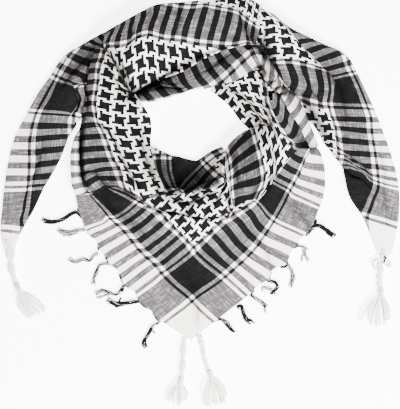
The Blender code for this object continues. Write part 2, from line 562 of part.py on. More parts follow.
def fringe(name, edge, locks, outward_side, material):
    """A narrow strip along the cut edge with its locks, two strands in each."""
    line = np.array(edge, float)
    knots = np.concatenate([[0], np.cumsum(np.linalg.norm(np.diff(line, axis=0), axis=1))])
    stops = []
    for width, path in locks:
        near = np.linspace(0, knots[-1], 400)
        places = resample(line, knots, near)
        start = near[np.argmin(np.hypot(*(places - np.array(path[0])).T))]
        stops.append((start, width, path))
    marks = {0.0, float(knots[-1])}
    roots = {}
    for start, width, path in stops:
        for k in (-1, 0, 1):
            marks.add(round(float(start + k * width), 3))
        roots[round(float(start - width), 3)] = (-1, width, path)
        roots[round(float(start), 3)] = (1, width, path)
    marks = sorted(marks)
    places = resample(line, knots, np.array(marks))
    ahead = np.gradient(places, np.array(marks), axis=0)
    out = np.stack([-ahead[:, 1], ahead[:, 0]], axis=1) * outward_side
    out = out / np.linalg.norm(out, axis=1, keepdims=True)
    corners, faces = [], []
    low, high = 0.0003, 0.0019
    for place, way in zip(places, out):
        inner, outer = place - 0.9 * way, place + 1.5 * way
        corners += [metres(*inner, low), metres(*outer, low),
                    metres(*outer, high), metres(*inner, high)]
    for i in range(len(marks) - 1):
        a, b = 4 * i, 4 * (i + 1)
        faces.append([a, b, b + 1, a + 1])
        faces.append([a + 2, b + 2, b + 3, a + 3])
        faces.append([a + 3, b + 3, b, a])
        root = roots.get(marks[i])
        if root is None:
            faces.append([a + 1, b + 1, b + 2, a + 2])
            continue
        way, width, path = root
        points = [metres(*p, 0.0011) for p in path]
        whole = [0.5 * (corners[a + 1] + corners[b + 2])] + points
        whole = np.array(whole)
        shape = whole.copy()
        for k in range(1, len(whole)):
            step = whole[min(k + 1, len(whole) - 1)] - whole[k - 1]
            side = np.array([-step[1], step[0], 0.0]) / np.linalg.norm(step[:2])
            apart = STEP * width * (0.52 + 0.28 * k / len(whole))
            shape[k] = whole[k] + side * apart * way * LOCK_SIDE[name]
        size = [STEP * width * 0.8] * len(shape)
        tall = [0.0015] * (len(shape) - 1) + [0.001]
        size[-1] *= 0.55
        strand(corners, faces, (a + 1, b + 1, b + 2, a + 2), shape, size, tall)
    faces.append([0, 1, 2, 3])
    end = 4 * (len(marks) - 1)
    faces.append([end + 3, end + 2, end + 1, end])
    made = mesh_object(name, corners, faces, material)
    outward(made)
    return made


# Which way a lock's first strand leaves the strip, seen along the edge table.
LOCK_SIDE = {"left_fringe": 1, "right_fringe": -1}


def tassel(name, table, material):
    """A corner tassel: a cord from the cloth, its knot, and a skirt of loose strands."""
    sections, skirt_end = table
    nx, nz = SKIRT_ACROSS, SKIRT_DEEP
    corners, faces = [], []
    spine = np.array([s[:2] for s in sections], float)
    boundary = ([(i, 0) for i in range(nx)] + [(nx, j) for j in range(nz)]
                + [(nx - i, nz) for i in range(nx)] + [(0, nz - j) for j in range(nz)])
    rings = []
    for k, (x, y, width, height) in enumerate(sections):
        step = spine[min(k + 1, len(spine) - 1)] - spine[max(k - 1, 0)]
        side = np.array([step[1], -step[0]]) / np.linalg.norm(step)
        centre_z = max(0.0004 + 0.0005 * height, 0.0019)
        ring = {}
        wanted = boundary if k < len(sections) - 1 else [
            (i, j) for i in range(nx + 1) for j in range(nz + 1)]
        for i, j in wanted:
            s, t = 2 * i / nx - 1, 2 * j / nz - 1
            squeeze = math.sqrt(max(0.0, 1 - 0.42 * s * s * (t * t > 0.5)))
            px = x + side[0] * s * 0.5 * width / (STEP * 1000)
            py = y + side[1] * s * 0.5 * width / (STEP * 1000)
            ring[i, j] = len(corners)
            corners.append(metres(px, py, centre_z + t * 0.0005 * height * squeeze))
        rings.append(ring)
    for first, second in zip(rings, rings[1:]):
        for n, here in enumerate(boundary):
            there = boundary[(n + 1) % len(boundary)]
            faces.append([first[here], first[there], second[there], second[here]])
    cap = rings[0]
    faces.append([cap[b] for b in reversed(boundary)])
    head = rings[-1]
    tips = np.array(skirt_end, float)
    tip_knots = np.linspace(0, 1, len(tips))
    for i in range(nx):
        for j in range(nz):
            loop = [head[i, j], head[i + 1, j], head[i + 1, j + 1], head[i, j + 1]]
            root = sum(corners[c] for c in loop) / 4
            share = (i + 0.5 + 0.18 * (j - 0.5)) / nx
            tip = resample(tips, tip_knots, np.array([1 - share]))[0]
            long = 1 - 0.06 * ((3 * i + 2 * j) % 4)
            end = metres(*tip, 0.0009 + 0.0021 * j)
            end = root + (end - root) * long
            bow = 0.0011 * math.sin(2.1 * i + 1.7 * j)
            points = [root]
            for t in (0.2, 0.45, 0.72, 1.0):
                point = root + (end - root) * t
                point[0] += bow * math.sin(math.pi * t)
                points.append(point)
            wide = [0, 1.25, 1.45, 1.45, 0.9]
            strand(corners, faces, loop, np.array(points), [0.001 * w for w in wide],
                   [0, 0.0014, 0.0013, 0.0012, 0.0008])
    made = mesh_object(name, corners, faces, material)
    outward(made)
    return made


def main():
    for old in list(bpy.data.objects):
        bpy.data.objects.remove(old)
    woven = finish("woven_cotton", "#8f8c8d", 0.9)
    yarn = finish("dark_fringe_yarn", "#2b2a2c", 0.9)
    white = finish("white_tassel_yarn", "#efeeea", 0.9)

    left, right = front_grids()
    cloth("front", [placed(left), placed(right)], woven)
    lower = lower_front_grids(left, right)
    cloth("front_lower_half", [placed(g) for g in lower], woven)

    left_plan, right_plan = plan_grid(LEFT_TAIL), plan_grid(RIGHT_TAIL)
    grid = rolled(placed(left_plan), True, -1, 0.5)
    cloth("left_tail", [rolled(grid, False, -1, 0.93)], woven)
    grid = rolled(placed(right_plan), True, -1, 0.36)
    cloth("right_tail", [rolled(grid, False, -1, 2)], woven)
    cloth("top_band", [rolled(placed(plan_grid(TOP_BAND)), False, 0.15, 0.68)], woven)
    cloth("left_rise", [rolled(placed(plan_grid(LEFT_RISE)), True, 0.36, 0.63)], woven)
    cloth("cowl", [rolled(placed(plan_grid(COWL)), True, 0.49, 0.62)], woven)
    cloth("inner_cowl", [rolled(placed(plan_grid(INNER_COWL)), False, -1, 2)], woven)
    cloth("right_rise", [rolled(placed(plan_grid(RIGHT_RISE)), True, -1, 2)], woven)
    cloth("back_band", [rolled(placed(plan_grid(BACK_BAND)), True, -1, 0.4)], woven)
    cloth("turned_margin", [placed(plan_grid(TURNED_MARGIN))], woven)

    ring_folds(woven)
    tail_folds("left_tail_folds", left_plan, 4, 18, woven)
    tail_folds("right_tail_folds", right_plan, 4, 20, woven)

    fringe("left_fringe", LEFT_FRINGE_EDGE, LEFT_LOCKS, 1, yarn)
    fringe("right_fringe", RIGHT_FRINGE_EDGE, RIGHT_LOCKS, -1, yarn)
    tassel("front_left_tassel", FRONT_LEFT_TASSEL, white)
    tassel("front_right_tassel", FRONT_RIGHT_TASSEL, white)
    tassel("left_tail_tassel", LEFT_TAIL_TASSEL, white)
    tassel("right_tail_tassel", RIGHT_TAIL_TASSEL, white)


main()
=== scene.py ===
"""Looks of a square cotton keffiyeh, folded on the diagonal and laid flat as it is worn.

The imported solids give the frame. Each stretch of the cloth is a thin shell on the form of its
solid, with its woven stripes, border bands and houndstooth worked out from its own cloth
coordinates: the distance in metres of each point from the two nearest cut edges.
"""

import logging
import math
from dataclasses import dataclass, field
from enum import Enum
from typing import Any, Iterator, Sequence

import bpy
import numpy as np
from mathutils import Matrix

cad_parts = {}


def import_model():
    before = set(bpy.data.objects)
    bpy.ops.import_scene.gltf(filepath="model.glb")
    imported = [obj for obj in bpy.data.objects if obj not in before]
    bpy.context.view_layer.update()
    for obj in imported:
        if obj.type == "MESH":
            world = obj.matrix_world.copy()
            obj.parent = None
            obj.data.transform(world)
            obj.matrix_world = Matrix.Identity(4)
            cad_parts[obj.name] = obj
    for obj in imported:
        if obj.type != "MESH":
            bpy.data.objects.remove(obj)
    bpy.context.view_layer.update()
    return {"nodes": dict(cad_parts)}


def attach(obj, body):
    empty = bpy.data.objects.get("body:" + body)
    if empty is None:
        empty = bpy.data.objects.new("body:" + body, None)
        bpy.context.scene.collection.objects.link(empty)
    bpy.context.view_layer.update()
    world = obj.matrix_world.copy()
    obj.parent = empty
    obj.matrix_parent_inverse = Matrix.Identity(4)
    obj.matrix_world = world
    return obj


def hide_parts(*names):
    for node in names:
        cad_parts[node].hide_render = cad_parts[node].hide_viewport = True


log = logging.getLogger("keffiyeh")

STEP = 0.00129        # one step of the plan tables, metres
PLAN_X = 200.31       # plan step that lies on x = 0
PLAN_Y = 202.34       # plan step that lies on y = 0; plan y runs forward, to -Y
BASE = 0.0012         # height of the lowest layer over the surface, metres
LAYER = 0.0026        # rise from one layer of cloth to the next, metres
PRESSED = 0.4         # share of that rise that is left at the bottom of a fold
CLOTH = 0.0009        # thickness of the shells, metres
RIDGE_BLEND = 3       # power by which ridges that meet are added; a high one keeps them apart
SHELF_SLOPE = 1.6     # width over which an edge rises, plan steps
FOLD_DEPTH = 2.0      # how much deeper the fine folds are than their table, for narrow ones
FOLD_SHARPNESS = 2.4  # how sharply a fold's sides meet at its bottom
FOLD_PULL = 0.75      # plan steps drawn in by a fine fold, for each mm of depth
MOST_PULL = 0.33      # most that a fine fold draws in, as a share of its half width
FOLD_SHADE_DEPTH = 5.0       # depth of a fold over which its painted shade darkens the colour to a third, mm
FOLD_SHADE_CURVE = 0.6      # how that painted shade starts: under 1, shallow folds are already painted darker
BLOCK = 0.95          # wanted side of a mesh face on the cloth, plan steps
SHARP = 0.15          # share of a column's way over which the cloth turns at a crease
SMOOTH = math.radians(50)  # sharpest bend that is shaded round
TUCKED = 1.35         # most cloth that a face shows, as a share of its surface
FLOOR_ROLL = 0.0019   # height of the lower edge of cloth rolled down to the floor, metres
HIDDEN_SHARE = 0.3    # height of the hidden folds, as a share of their solids'
HIDDEN_FOLDS = ("ring_folds", "left_tail_folds", "right_tail_folds")

PLACE = slice(0, 3)   # a point of a grid: its place,
CUT = slice(3, 5)     # its two cloth coordinates
PAINTED_SHADE_SLOT = 5              # and the share of its colour that is darkened as painted shade
UP = np.array([0.0, 0.0, 1.0])

Row = tuple[Any, ...]
Array = np.ndarray
Material = bpy.types.Material
Piece = bpy.types.Object


class Across(Enum):
    """Which cloth coordinate the columns of a table give; its rows give the other.

    The value says where a grid's points hold the coordinate across and the one along.
    """

    WARP = (3, 4)
    WEFT = (4, 3)


class Side(Enum):
    """Which side edge of a stretch of cloth is rolled down."""

    FIRST = 0
    LAST = 1


# Broad ridges of the heap: half width, then crest points (x, y, height in mm).
RIDGES: dict[str, Row] = {
    "left rise": (48, (112, 60, 11), (112, 85, 13), (117, 110, 14), (122, 135, 14), (127, 160, 14),
     (140, 186, 14), (156, 207, 12)),
    "cowl": (46, (165, 214, 11), (193, 214, 13), (215, 200, 15), (232, 182, 16), (246, 163, 16),
     (262, 148, 14), (272, 133, 12)),
    "right rise": (38, (272, 133, 12), (262, 113, 11), (250, 97, 10), (238, 84, 9)),
    "top band": (46, (262, 26, 10), (225, 25, 13), (190, 24, 14), (160, 31, 14), (135, 47, 13),
     (116, 62, 11)),
    "margin of the left rise": (7, (81, 122, 2), (75.5, 138, 6), (74, 155, 8), (74, 172, 8), (76, 187, 6),
     (80, 197, 2)),
    "back band": (30, (236, 66, 7), (205, 68, 7), (180, 80, 7), (150, 92, 7)),
    "left tail": (34, (108, 48, 8), (82, 70, 7), (62, 100, 6), (47, 135, 5.5), (33, 170, 5), (22, 205, 4),
     (13, 235, 2.5), (9, 250, 1.2)),
    "right tail": (40, (262, 26, 10), (290, 50, 9), (322, 85, 7.5), (344, 116, 6.5), (355, 150, 5.5),
     (364, 186, 5), (380, 222, 3), (388, 252, 1.2)),
}

# Creases between the folds: half width, then points (x, y, depth in mm).
CREASES: dict[str, Row] = {
    "left rise": (10, (95, 122, 2), (107, 128, 3), (114, 138, 3.5), (120, 152, 3), (126, 166, 3),
     (136, 180, 2)),
    "left of the top band": (10, (102, 42, 3), (109, 57, 4), (118, 77, 4), (129, 91, 3)),
    "first gather": (9, (168, 232, 1), (180, 212, 2.5), (190, 199, 2)),
    "second gather": (9, (196, 240, 1), (203, 222, 3), (208, 204, 2.5)),
    "third gather": (9, (222, 224, 1), (224, 205, 2.5), (222, 188, 2)),
    "cowl side": (9, (239, 204, 1.5), (246, 182, 2.5), (245, 156, 1.5)),
    "strip": (9, (264, 192, 1.5), (268, 170, 3), (271, 150, 2)),
    "knot": (12, (258, 24, 1.5), (261, 38, 2.5), (266, 54, 2)),
    "right tail": (9, (300, 68, 2), (306, 81, 3), (313, 92, 3), (321, 101, 2)),
    "right tail side": (9, (333, 82, 1), (333, 104, 1.5), (338, 124, 1.5), (339, 140, 1)),
    "left tail side": (9, (75, 88, 1), (74, 103, 1.5), (66, 120, 1.5), (64, 135, 1)),
}

# Broad hollows, deeper than the creases: half width, then points (x, y, depth in mm).
HOLLOWS: dict[str, Row] = {
    "inner cowl": (21, (160, 172, 4), (172, 182, 8), (186, 182, 9), (200, 175, 8), (214, 168, 5),
     (221, 160, 3)),
    "knot": (10, (246, 42, 5), (256, 43, 12), (263, 47, 13), (268, 56, 8), (272, 64, 2)),
    "under the top band": (6, (131, 96, 7), (139, 91, 10), (147, 86.5, 10), (155, 82, 7), (164, 77, 2)),
    "groove beside the margin": (4.6, (83, 118, 3), (81.5, 130, 7), (80.3, 145, 9), (80.5, 165, 11),
     (82, 180, 9), (86, 190, 3)),
    "crumpled corner": (8, (106, 52, 2), (114, 66, 5), (122, 80, 6), (130, 93, 6)),
    "edge of the strip": (5, (258, 197, 4), (268, 184, 3), (274, 170, 2), (283, 158, 2), (294, 150, 1)),
}

# Fine folds, which draw the cloth in from both sides: half width, then points (x, y, depth in mm).
FOLDS: dict[str, Row] = {
    "left rise, edge of the margin": (4.5, (83, 116, 1), (81.5, 128, 3), (80, 145, 4), (80.5, 162, 5),
     (81.5, 178, 5), (86, 190, 2)),
    "left rise, down the middle": (4, (97, 121, 1), (106, 129, 2.5), (112.5, 137, 3), (117, 148, 2.8),
     (121, 156, 2.2), (127, 168, 3), (134, 180, 2.6), (139, 189, 1)),
    "left rise, foot": (4, (88, 171, 1), (95, 172, 3), (100.5, 180, 3.5), (107, 186.5, 2.5)),
    "left rise, inner side": (4.5, (143, 128, 0.5), (141, 140, 1.8), (144, 154, 2.2), (149, 168, 2.4),
     (155, 182, 2), (160, 192, 1)),
    "left rise, low": (4, (118, 186, 0.5), (128, 192, 2), (139, 200, 2.6), (150, 207, 2.4),
     (161, 212, 1.5)),
    "left tail valley": (4.5, (80, 76, 1), (84, 84, 3), (86.5, 94, 4), (87.5, 103, 3), (87, 110, 1)),
    "left tail, by the block": (4, (70, 80, 0.8), (75, 90, 2), (78, 100, 2.6), (76.5, 109, 2.4),
     (70, 115, 1)),
    "first by the corner": (4, (104, 46, 1), (111, 57, 3), (118, 70, 3.6), (124, 82, 4), (131, 94, 3)),
    "second by the corner": (3.5, (113, 44, 1), (118, 54, 2.6), (123, 66, 3), (128, 78, 2.8),
     (133, 89, 1.8)),
    "third by the corner": (3.5, (104, 58, 0.8), (109, 68, 2.2), (115, 79, 2.6), (120, 90, 2),
     (124, 98, 0.8)),
    "under the top band": (5, (129, 97, 2), (138, 91, 5), (146, 86, 6), (153, 82.5, 5), (161, 78, 3),
     (172, 74, 1.5)),
    "back band loop": (3, (153, 90, 1), (160, 86.5, 3), (168, 87, 3.2), (177, 88.5, 2.4), (186, 87, 0.8)),
    "back band, second loop": (3, (158, 78, 1), (162, 82.5, 2), (168, 84.5, 2.2), (176, 84, 1)),
    "back band, right": (4.5, (196, 74, 0.5), (208, 70, 1.5), (220, 60, 1.6), (232, 52, 0.6)),
    "knot, dark hollow": (7, (250, 44, 2), (258, 45, 6), (265, 48, 6), (268, 56, 3)),
    "knot, down the tail": (4, (264, 28, 1), (264, 40, 3), (268, 52, 3.6), (272, 63, 3), (277, 73, 1)),
    "crumple a": (3.6, (252, 70, 0.8), (257, 66.5, 3), (262, 67, 3.6), (265.5, 72, 3), (264, 77, 1.2)),
    "crumple b": (3.4, (260, 74, 0.8), (264, 80, 3.2), (270, 82.5, 3.4), (276, 80, 2), (277, 75, 0.8)),
    "crumple c": (3.4, (266, 85, 1.4), (271, 88, 3.8), (278, 88, 4), (285, 84, 1.6)),
    "crumple d": (4, (281, 80, 2), (284, 86, 5), (289, 89, 5), (285, 94, 4), (277, 93, 1.6)),
    "crumple e": (3.4, (289, 91, 1.2), (294, 93, 4), (298, 97.5, 1.6)),
    "right rise, inner": (4, (224, 86, 0.6), (234, 91, 1.6), (246, 99, 1.8), (254, 108, 1.8),
     (260, 121, 1)),
    "right rise, crossing": (3, (238, 111, 0.6), (248, 115.5, 1), (257, 119, 1), (262, 127, 0.5)),
    "right rise, middle": (3.6, (262, 100, 0.8), (266, 110, 1.8), (271, 124, 2), (277, 138, 1)),
    "strip, inner": (3.6, (266, 138, 0.3), (272, 152, 0.8), (274, 164, 0.9), (270, 176, 0.8),
     (265, 186, 0.3)),
    "right tail, crease": (3, (299, 66, 0.6), (303, 75, 1.3), (309, 85.5, 1.5), (315, 95, 1.3),
     (320, 103, 0.7)),
    "cowl, by the line": (5, (236, 205, 0.5), (238, 190, 1.4), (236, 172, 1.8), (232, 155, 1.2)),
    "cowl, far side": (5, (253, 196, 1.2), (259, 182, 1.4), (257, 164, 1.2), (250, 146, 0.5)),
    "cowl front, level": (4, (146, 203, 0.8), (158, 209.5, 2.6), (171, 212, 3), (184, 214.5, 3),
     (197, 217.5, 3), (210, 219, 2.8), (224, 215, 1.6), (232, 212, 0.6)),
    "cowl front, upper": (4, (166, 197, 1), (177, 201, 3), (189, 203, 3.4), (199, 199, 2.8),
     (208, 193.5, 1.5), (217, 190, 0.6)),
    "cowl front, side": (3.4, (213, 205, 0.8), (219, 196, 2.4), (223, 188, 2.6), (226, 178, 1.2)),
    "cowl edge": (3.2, (226, 221, 0.8), (229, 212, 2.6), (228, 201, 2.8), (229.5, 190, 1)),
    "inner cowl": (5, (168, 186, 0.8), (178, 190, 2.4), (190, 188, 2.6), (206, 183, 2.2), (220, 178, 1)),
    "top band, left": (6, (128, 24, 0.5), (133, 33, 1.3), (131, 44, 1.2), (124, 54, 0.5)),
    "top band, middle": (7, (176, 5, 0.5), (180, 16, 1.1), (177, 30, 1.2), (170, 42, 0.6)),
    "top band, right": (6, (236, 6, 0.6), (241, 20, 1.6), (246, 33, 2), (254, 44, 2)),
    "front right, wedge": (4, (298, 140, 1), (304, 145, 3), (311, 148, 3), (317, 147, 1)),
    "front left, side": (6, (100, 196, 0.4), (112, 208, 1.3), (128, 219, 1.4), (142, 232, 0.5)),
    "front, middle": (7, (180, 268, 0.4), (192, 284, 1.2), (197, 302, 1.2), (196, 322, 0.5)),
    "front right, side": (6, (244, 224, 0.4), (256, 236, 1.2), (266, 250, 1.2), (270, 266, 0.4)),
    "front right, arm": (6, (280, 196, 0.5), (292, 204, 1.4), (302, 215, 1.2), (308, 226, 0.4)),
    "right tail, curl": (4, (338, 160, 1), (344, 168, 3), (352, 175, 3.4), (361, 178, 2.4), (370, 186, 1)),
    "right tail, second curl": (3.6, (346, 152, 0.8), (356, 160, 2.2), (364, 166, 2.4), (372, 176, 1)),
    "right tail, slope": (6, (318, 60, 0.5), (330, 74, 1.6), (340, 90, 1.8), (344, 108, 1),
     (345, 128, 0.5)),
    "left tail, slope": (6, (92, 50, 0.5), (82, 62, 1.6), (72, 72, 1.8), (62, 86, 1)),
    "left tail, low": (6, (44, 140, 0.5), (38, 162, 1.3), (30, 182, 1.2), (22, 204, 0.4)),
    "right tail, low": (6, (380, 150, 0.5), (384, 174, 1.3), (384, 198, 1.2), (388, 224, 0.4)),
}

# Painted shade: places that turn down into the ring or lie under higher cloth, where the colour
# is painted darker: half width, then points (x, y, share of the colour that is darkened).
PAINTED_SHADE_PLACES: dict[str, Row] = {
    "back band": (17, (138, 95, 0.6), (165, 84, 0.55), (205, 70, 0.5), (226, 58, 0.42), (240, 50, 0.2)),
    "cowl": (20, (236, 204, 0.3), (243, 186, 0.45), (246, 166, 0.45), (247, 145, 0.45), (262, 130, 0.4)),
    "right rise": (17, (222, 84, 0.4), (240, 100, 0.5), (258, 118, 0.5), (272, 145, 0.35), (272, 172, 0.3),
     (262, 194, 0.35)),
    "right rise, upper": (10, (240, 76, 0.2), (256, 88, 0.3), (268, 104, 0.3)),
    "left rise, inner side": (17, (120, 92, 0.2), (134, 118, 0.22), (143, 145, 0.35), (150, 170, 0.5),
     (160, 192, 0.45)),
    "left rise, foot": (14, (112, 150, 0.2), (118, 168, 0.35), (110, 184, 0.45), (128, 192, 0.35)),
    "left rise, upper": (12, (100, 62, 0.3), (104, 80, 0.25), (108, 100, 0.1)),
    "left tail": (22, (66, 72, 0.35), (84, 62, 0.5), (98, 52, 0.4)),
    "left tail, by the rise": (10, (88, 72, 0.3), (86, 92, 0.4), (84, 106, 0.2)),
    "inner cowl": (24, (160, 166, 0.75), (180, 178, 0.85), (200, 177, 0.8), (214, 163, 0.65),
     (222, 150, 0.5)),
    "inner cowl, upper": (12, (150, 148, 0.4), (162, 152, 0.4), (176, 156, 0.2)),
    "knot": (10, (252, 34, 0.5), (260, 41, 0.9), (266, 50, 0.97), (269, 59, 0.75), (274, 72, 0.4)),
    "knot, wide": (20, (244, 44, 0.35), (262, 52, 0.5), (272, 74, 0.3)),
    "crumpled margin": (14, (250, 66, 0.25), (268, 80, 0.4), (286, 90, 0.4), (298, 100, 0.2)),
    "under the top band": (9, (129, 98, 0.7), (138, 92, 1), (147, 88, 1), (156, 83, 0.9), (163, 78, 0.5),
     (176, 72, 0.3)),
    "loop of the back band": (4.4, (157, 84, 0.8), (162, 89.5, 0.85), (171, 91.5, 0.8), (180, 93, 0.5)),
    "corner": (11, (106, 50, 0.3), (116, 62, 0.65), (124, 76, 0.8), (131, 93, 0.6)),
    "right tail": (22, (318, 56, 0.2), (334, 78, 0.3), (346, 104, 0.25), (350, 130, 0.12)),
    "right tail, tucked edge": (13, (304, 99, 0.6), (311, 110, 0.92), (317, 120, 0.92), (323, 131, 0.85),
     (326, 142, 0.6)),
    "turned margin": (10, (284, 92, 0.3), (296, 106, 0.35), (309, 124, 0.3), (316, 146, 0.25)),
    "front right, wedge": (8, (297, 134, 0.5), (305, 143, 0.85), (313, 149, 0.5)),
    "cowl front": (12, (170, 207, 0.3), (196, 205, 0.35), (222, 197, 0.4)),
    "groove by the margin": (5.4, (83.5, 118, 0.4), (81.5, 127, 0.9), (80, 145, 1), (80.5, 165, 1),
     (82.5, 180, 1), (88, 190, 0.5)),
}

# Edges that stand above what lies beside them: length over which the rise behind them fades,
# then points (x, y, rise in mm).
SHELVES: dict[str, Row] = {
    "left rise over its margin": (24, (84.5, 112, 0), (82.8, 122, 3), (81.5, 135, 5), (80.8, 150, 6),
     (80.8, 165, 6), (82, 178, 5), (89, 190, 2), (94, 195, 0)),
    "cowl over the inner cowl": (26, (165, 196, 0), (171, 199.5, 5), (181, 197.5, 8), (191, 192.5, 9),
     (210, 188, 9), (221, 184.5, 8), (224, 165, 6), (225, 152, 4), (226, 145, 0)),
    "top band over the back band": (20, (238, 45, 0), (222, 49, 3), (210, 54, 4), (198, 60.5, 5),
     (187, 68, 5), (174, 73.5, 5), (161, 77.5, 5), (150, 83, 5), (141, 87.5, 5), (133, 93, 3),
     (128, 98, 0)),
    "left rise over the inner cowl": (16, (170, 202, 0), (166, 194, 3), (161, 184, 4), (157.5, 174, 4),
     (155.5, 163, 3), (154, 155, 0)),
    "left rise over the front": (18, (92, 194.5, 0), (100, 188.5, 1.5), (108, 187, 2.5), (120, 188.5, 2.5),
     (134, 197, 2), (146, 206, 0)),
    "turned margin over the bars": (20, (318, 148, 0), (306, 134, 2), (297, 122, 3), (288, 109, 3),
     (280, 98, 3), (274, 91, 0)),
    "right tail over the band": (30, (285, 84, 0), (276, 72, 3), (268, 60, 4), (264, 48, 4.5), (259, 36, 3),
     (257, 26, 0)),
}

# Tables of the stretches of cloth. Each row holds the layer at its first and last column, the
# cloth coordinate of the row in cm, then the columns: plan x, plan y, other coordinate in cm.
LEFT_TAIL: tuple[Row, ...] = (
    (0, 0, 2, (4.5, 250, 0.8), (7.5, 251, 1.8), (10.5, 251, 2.8), (13.5, 249.5, 3.6)),
    (0, 0, 4.55, (1.5, 231, 2.2), (7, 231.5, 3), (13, 232.5, 3.7), (18.5, 233, 4.3)),
    (0, 0, 7.1, (3, 209, 2), (26.5, 209, 4.95), (30, 208.3, 5.4), (33, 207.5, 5.8)),
    (0, 0, 9.27, (4.3, 190.5, 1.9), (29.5, 189.5, 4.95), (36, 189, 5.8), (42, 188.5, 6.6)),
    (0, 0, 12.48, (8, 164.5, 2.1), (31, 164.5, 4.95), (44, 163.5, 6.4), (57.5, 161.5, 8.1)),
    (0, 0, 15.87, (15, 137.5, 2.8), (32.5, 137.5, 4.95), (49, 136, 7), (67.5, 135, 9.2)),
    (0, 0.4, 19.05, (28.5, 111, 3.5), (39, 112, 4.95), (69.5, 114.5, 9.15), (79.5, 117, 10.4)),
    (0, 0.7, 21.35, (37, 95.5, 3.8), (47.5, 97, 4.95), (77, 99, 9.15), (87, 101, 10.8)),
    (0, 1, 23.45, (50, 76.5, 3.7), (55.5, 79, 4.95), (75, 86.5, 9.15), (88, 86, 10.9)),
    (0, 1, 25.1, (57.5, 64, 3.5), (62.5, 67, 5.05), (91.5, 79, 8.6), (98, 81, 9.1)),
    (0.3, 1, 26.7, (68.5, 53.5, 4.1), (71, 55.5, 5.1), (95.5, 67, 8.3), (102, 69.5, 8.9)),
    (0.5, 0.8, 28.1, (79.5, 47, 5.2), (81.5, 48, 5.5), (99.5, 53, 7.8), (107, 56, 8.6)),
    (0.5, 0.7, 29.8, (90, 41, 5.4), (93, 43, 5.8), (106, 48, 7.4), (114, 52, 8.4)),
    (0.6, 0.6, 31.8, (101, 35, 5.6), (106, 39, 6.2), (114, 44, 7.4), (121, 49, 8.4)),
    (0.6, 0.6, 34.5, (118, 25, 5.8), (122, 30, 6.4), (128, 37, 7.4), (133, 43, 8.4)),
)
RIGHT_TAIL: tuple[Row, ...] = (
    (0, 0, 2, (391.5, 254, 0.8), (388, 256, 1.8), (384, 257, 2.9), (382, 256.6, 3.4), (380.5, 256, 3.8),
     (378.5, 254.5, 4.1)),
    (0, 0, 4.5, (396.5, 228.5, 1.1), (386, 225, 2.4), (375, 221.5, 3.7), (372, 220.5, 4.05),
     (369, 219.5, 4.4), (365, 218, 4.9)),
    (0, 0, 7.1, (399, 208, 1.3), (369.5, 201.5, 4.95), (361, 199, 6), (358.5, 198.5, 6.3), (356, 198, 6.6),
     (352, 197.5, 7.1)),
    (0, 0, 9.25, (399, 189.5, 1.7), (376, 183.5, 4.95), (362, 172, 7), (356, 169.5, 7.75), (350, 167, 8.5),
     (342, 167, 9.1)),
    (0, 0, 11.05, (398, 179, 1.8), (375.5, 174.5, 4.95), (357, 167, 7.3), (351.5, 163, 8.1),
     (346, 159.5, 8.9), (337, 158, 9.7)),
    (0, 0, 13.82, (391, 153.5, 2.3), (372.7, 152.5, 4.95), (344.6, 150, 8.9), (341.5, 148.5, 9.25),
     (336, 146, 9.9), (326, 143.5, 11)),
    (0, 0.5, 16.5, (382, 129.5, 3.2), (369.5, 129.5, 4.95), (339.5, 127, 9.1), (336, 126.5, 9.5),
     (329, 126, 10.5), (316, 127, 12.1)),
    (0, 1, 17.85, (378, 118.5, 3.6), (369, 118.4, 4.95), (336.5, 117.8, 9), (333, 117.6, 9.5),
     (323, 117, 10.9), (306, 115, 12.9)),
    (0.3, 2, 19.2, (372.5, 106.5, 3.8), (365, 105.5, 4.95), (333, 104.5, 9), (330, 104.4, 9.4),
     (318, 103, 11), (300, 97, 13.1)),
    (0.6, 2, 21.3, (365, 91.5, 4.1), (360, 91.5, 4.95), (333, 92, 9), (330, 90, 9.5), (312, 86.5, 12),
     (286, 80, 15.2)),
    (1, 2, 23.3, (356.5, 74, 4.3), (352.5, 75, 4.95), (333, 79, 9), (325.8, 72.2, 9.8), (302, 65, 12.6),
     (272.5, 63.5, 16.2)),
    (1.1, 2, 24.2, (353.5, 68.5, 4.3), (349.5, 69.5, 4.95), (328, 74, 9), (321.5, 67.5, 10.4),
     (301, 59.5, 12.6), (268.5, 57.5, 16.5)),
    (1.4, 2.2, 25.1, (350.5, 62.5, 4.4), (347, 63.5, 4.95), (324, 69.5, 8.95), (312.3, 57, 11.4),
     (297, 51.5, 13.2), (264, 50, 16.9)),
    (1.8, 3, 26.7, (340, 52, 5.3), (337, 52.5, 5.8), (316.5, 60, 8.95), (298.8, 43, 12.7), (287, 39.5, 14),
     (261, 38.5, 17.1)),
    (2.2, 3, 28.3, (324, 45, 6.2), (319, 45.5, 6.9), (306, 50, 8.95), (288.5, 31, 13.5), (279, 29, 14.8),
     (258, 29, 17.2)),
    (2.4, 2.8, 29.9, (310, 38.5, 7.2), (306, 38.5, 7.8), (296.5, 40, 8.95), (280, 22, 14.3),
     (271, 20, 15.5), (254, 20, 17.4)),
    (2.6, 2.6, 31.1, (294, 30.5, 8.2), (292.5, 30, 8.6), (290, 29.5, 8.95), (271.5, 15, 14.8),
     (263, 13, 15.9), (249, 14, 17.6)),
    (2.6, 2.6, 32.6, (270.5, 13, 8.2), (269.5, 12.6, 8.6), (268, 12, 8.95), (261, 8, 15), (254, 8, 15.9),
     (242, 9, 17.8)),
)
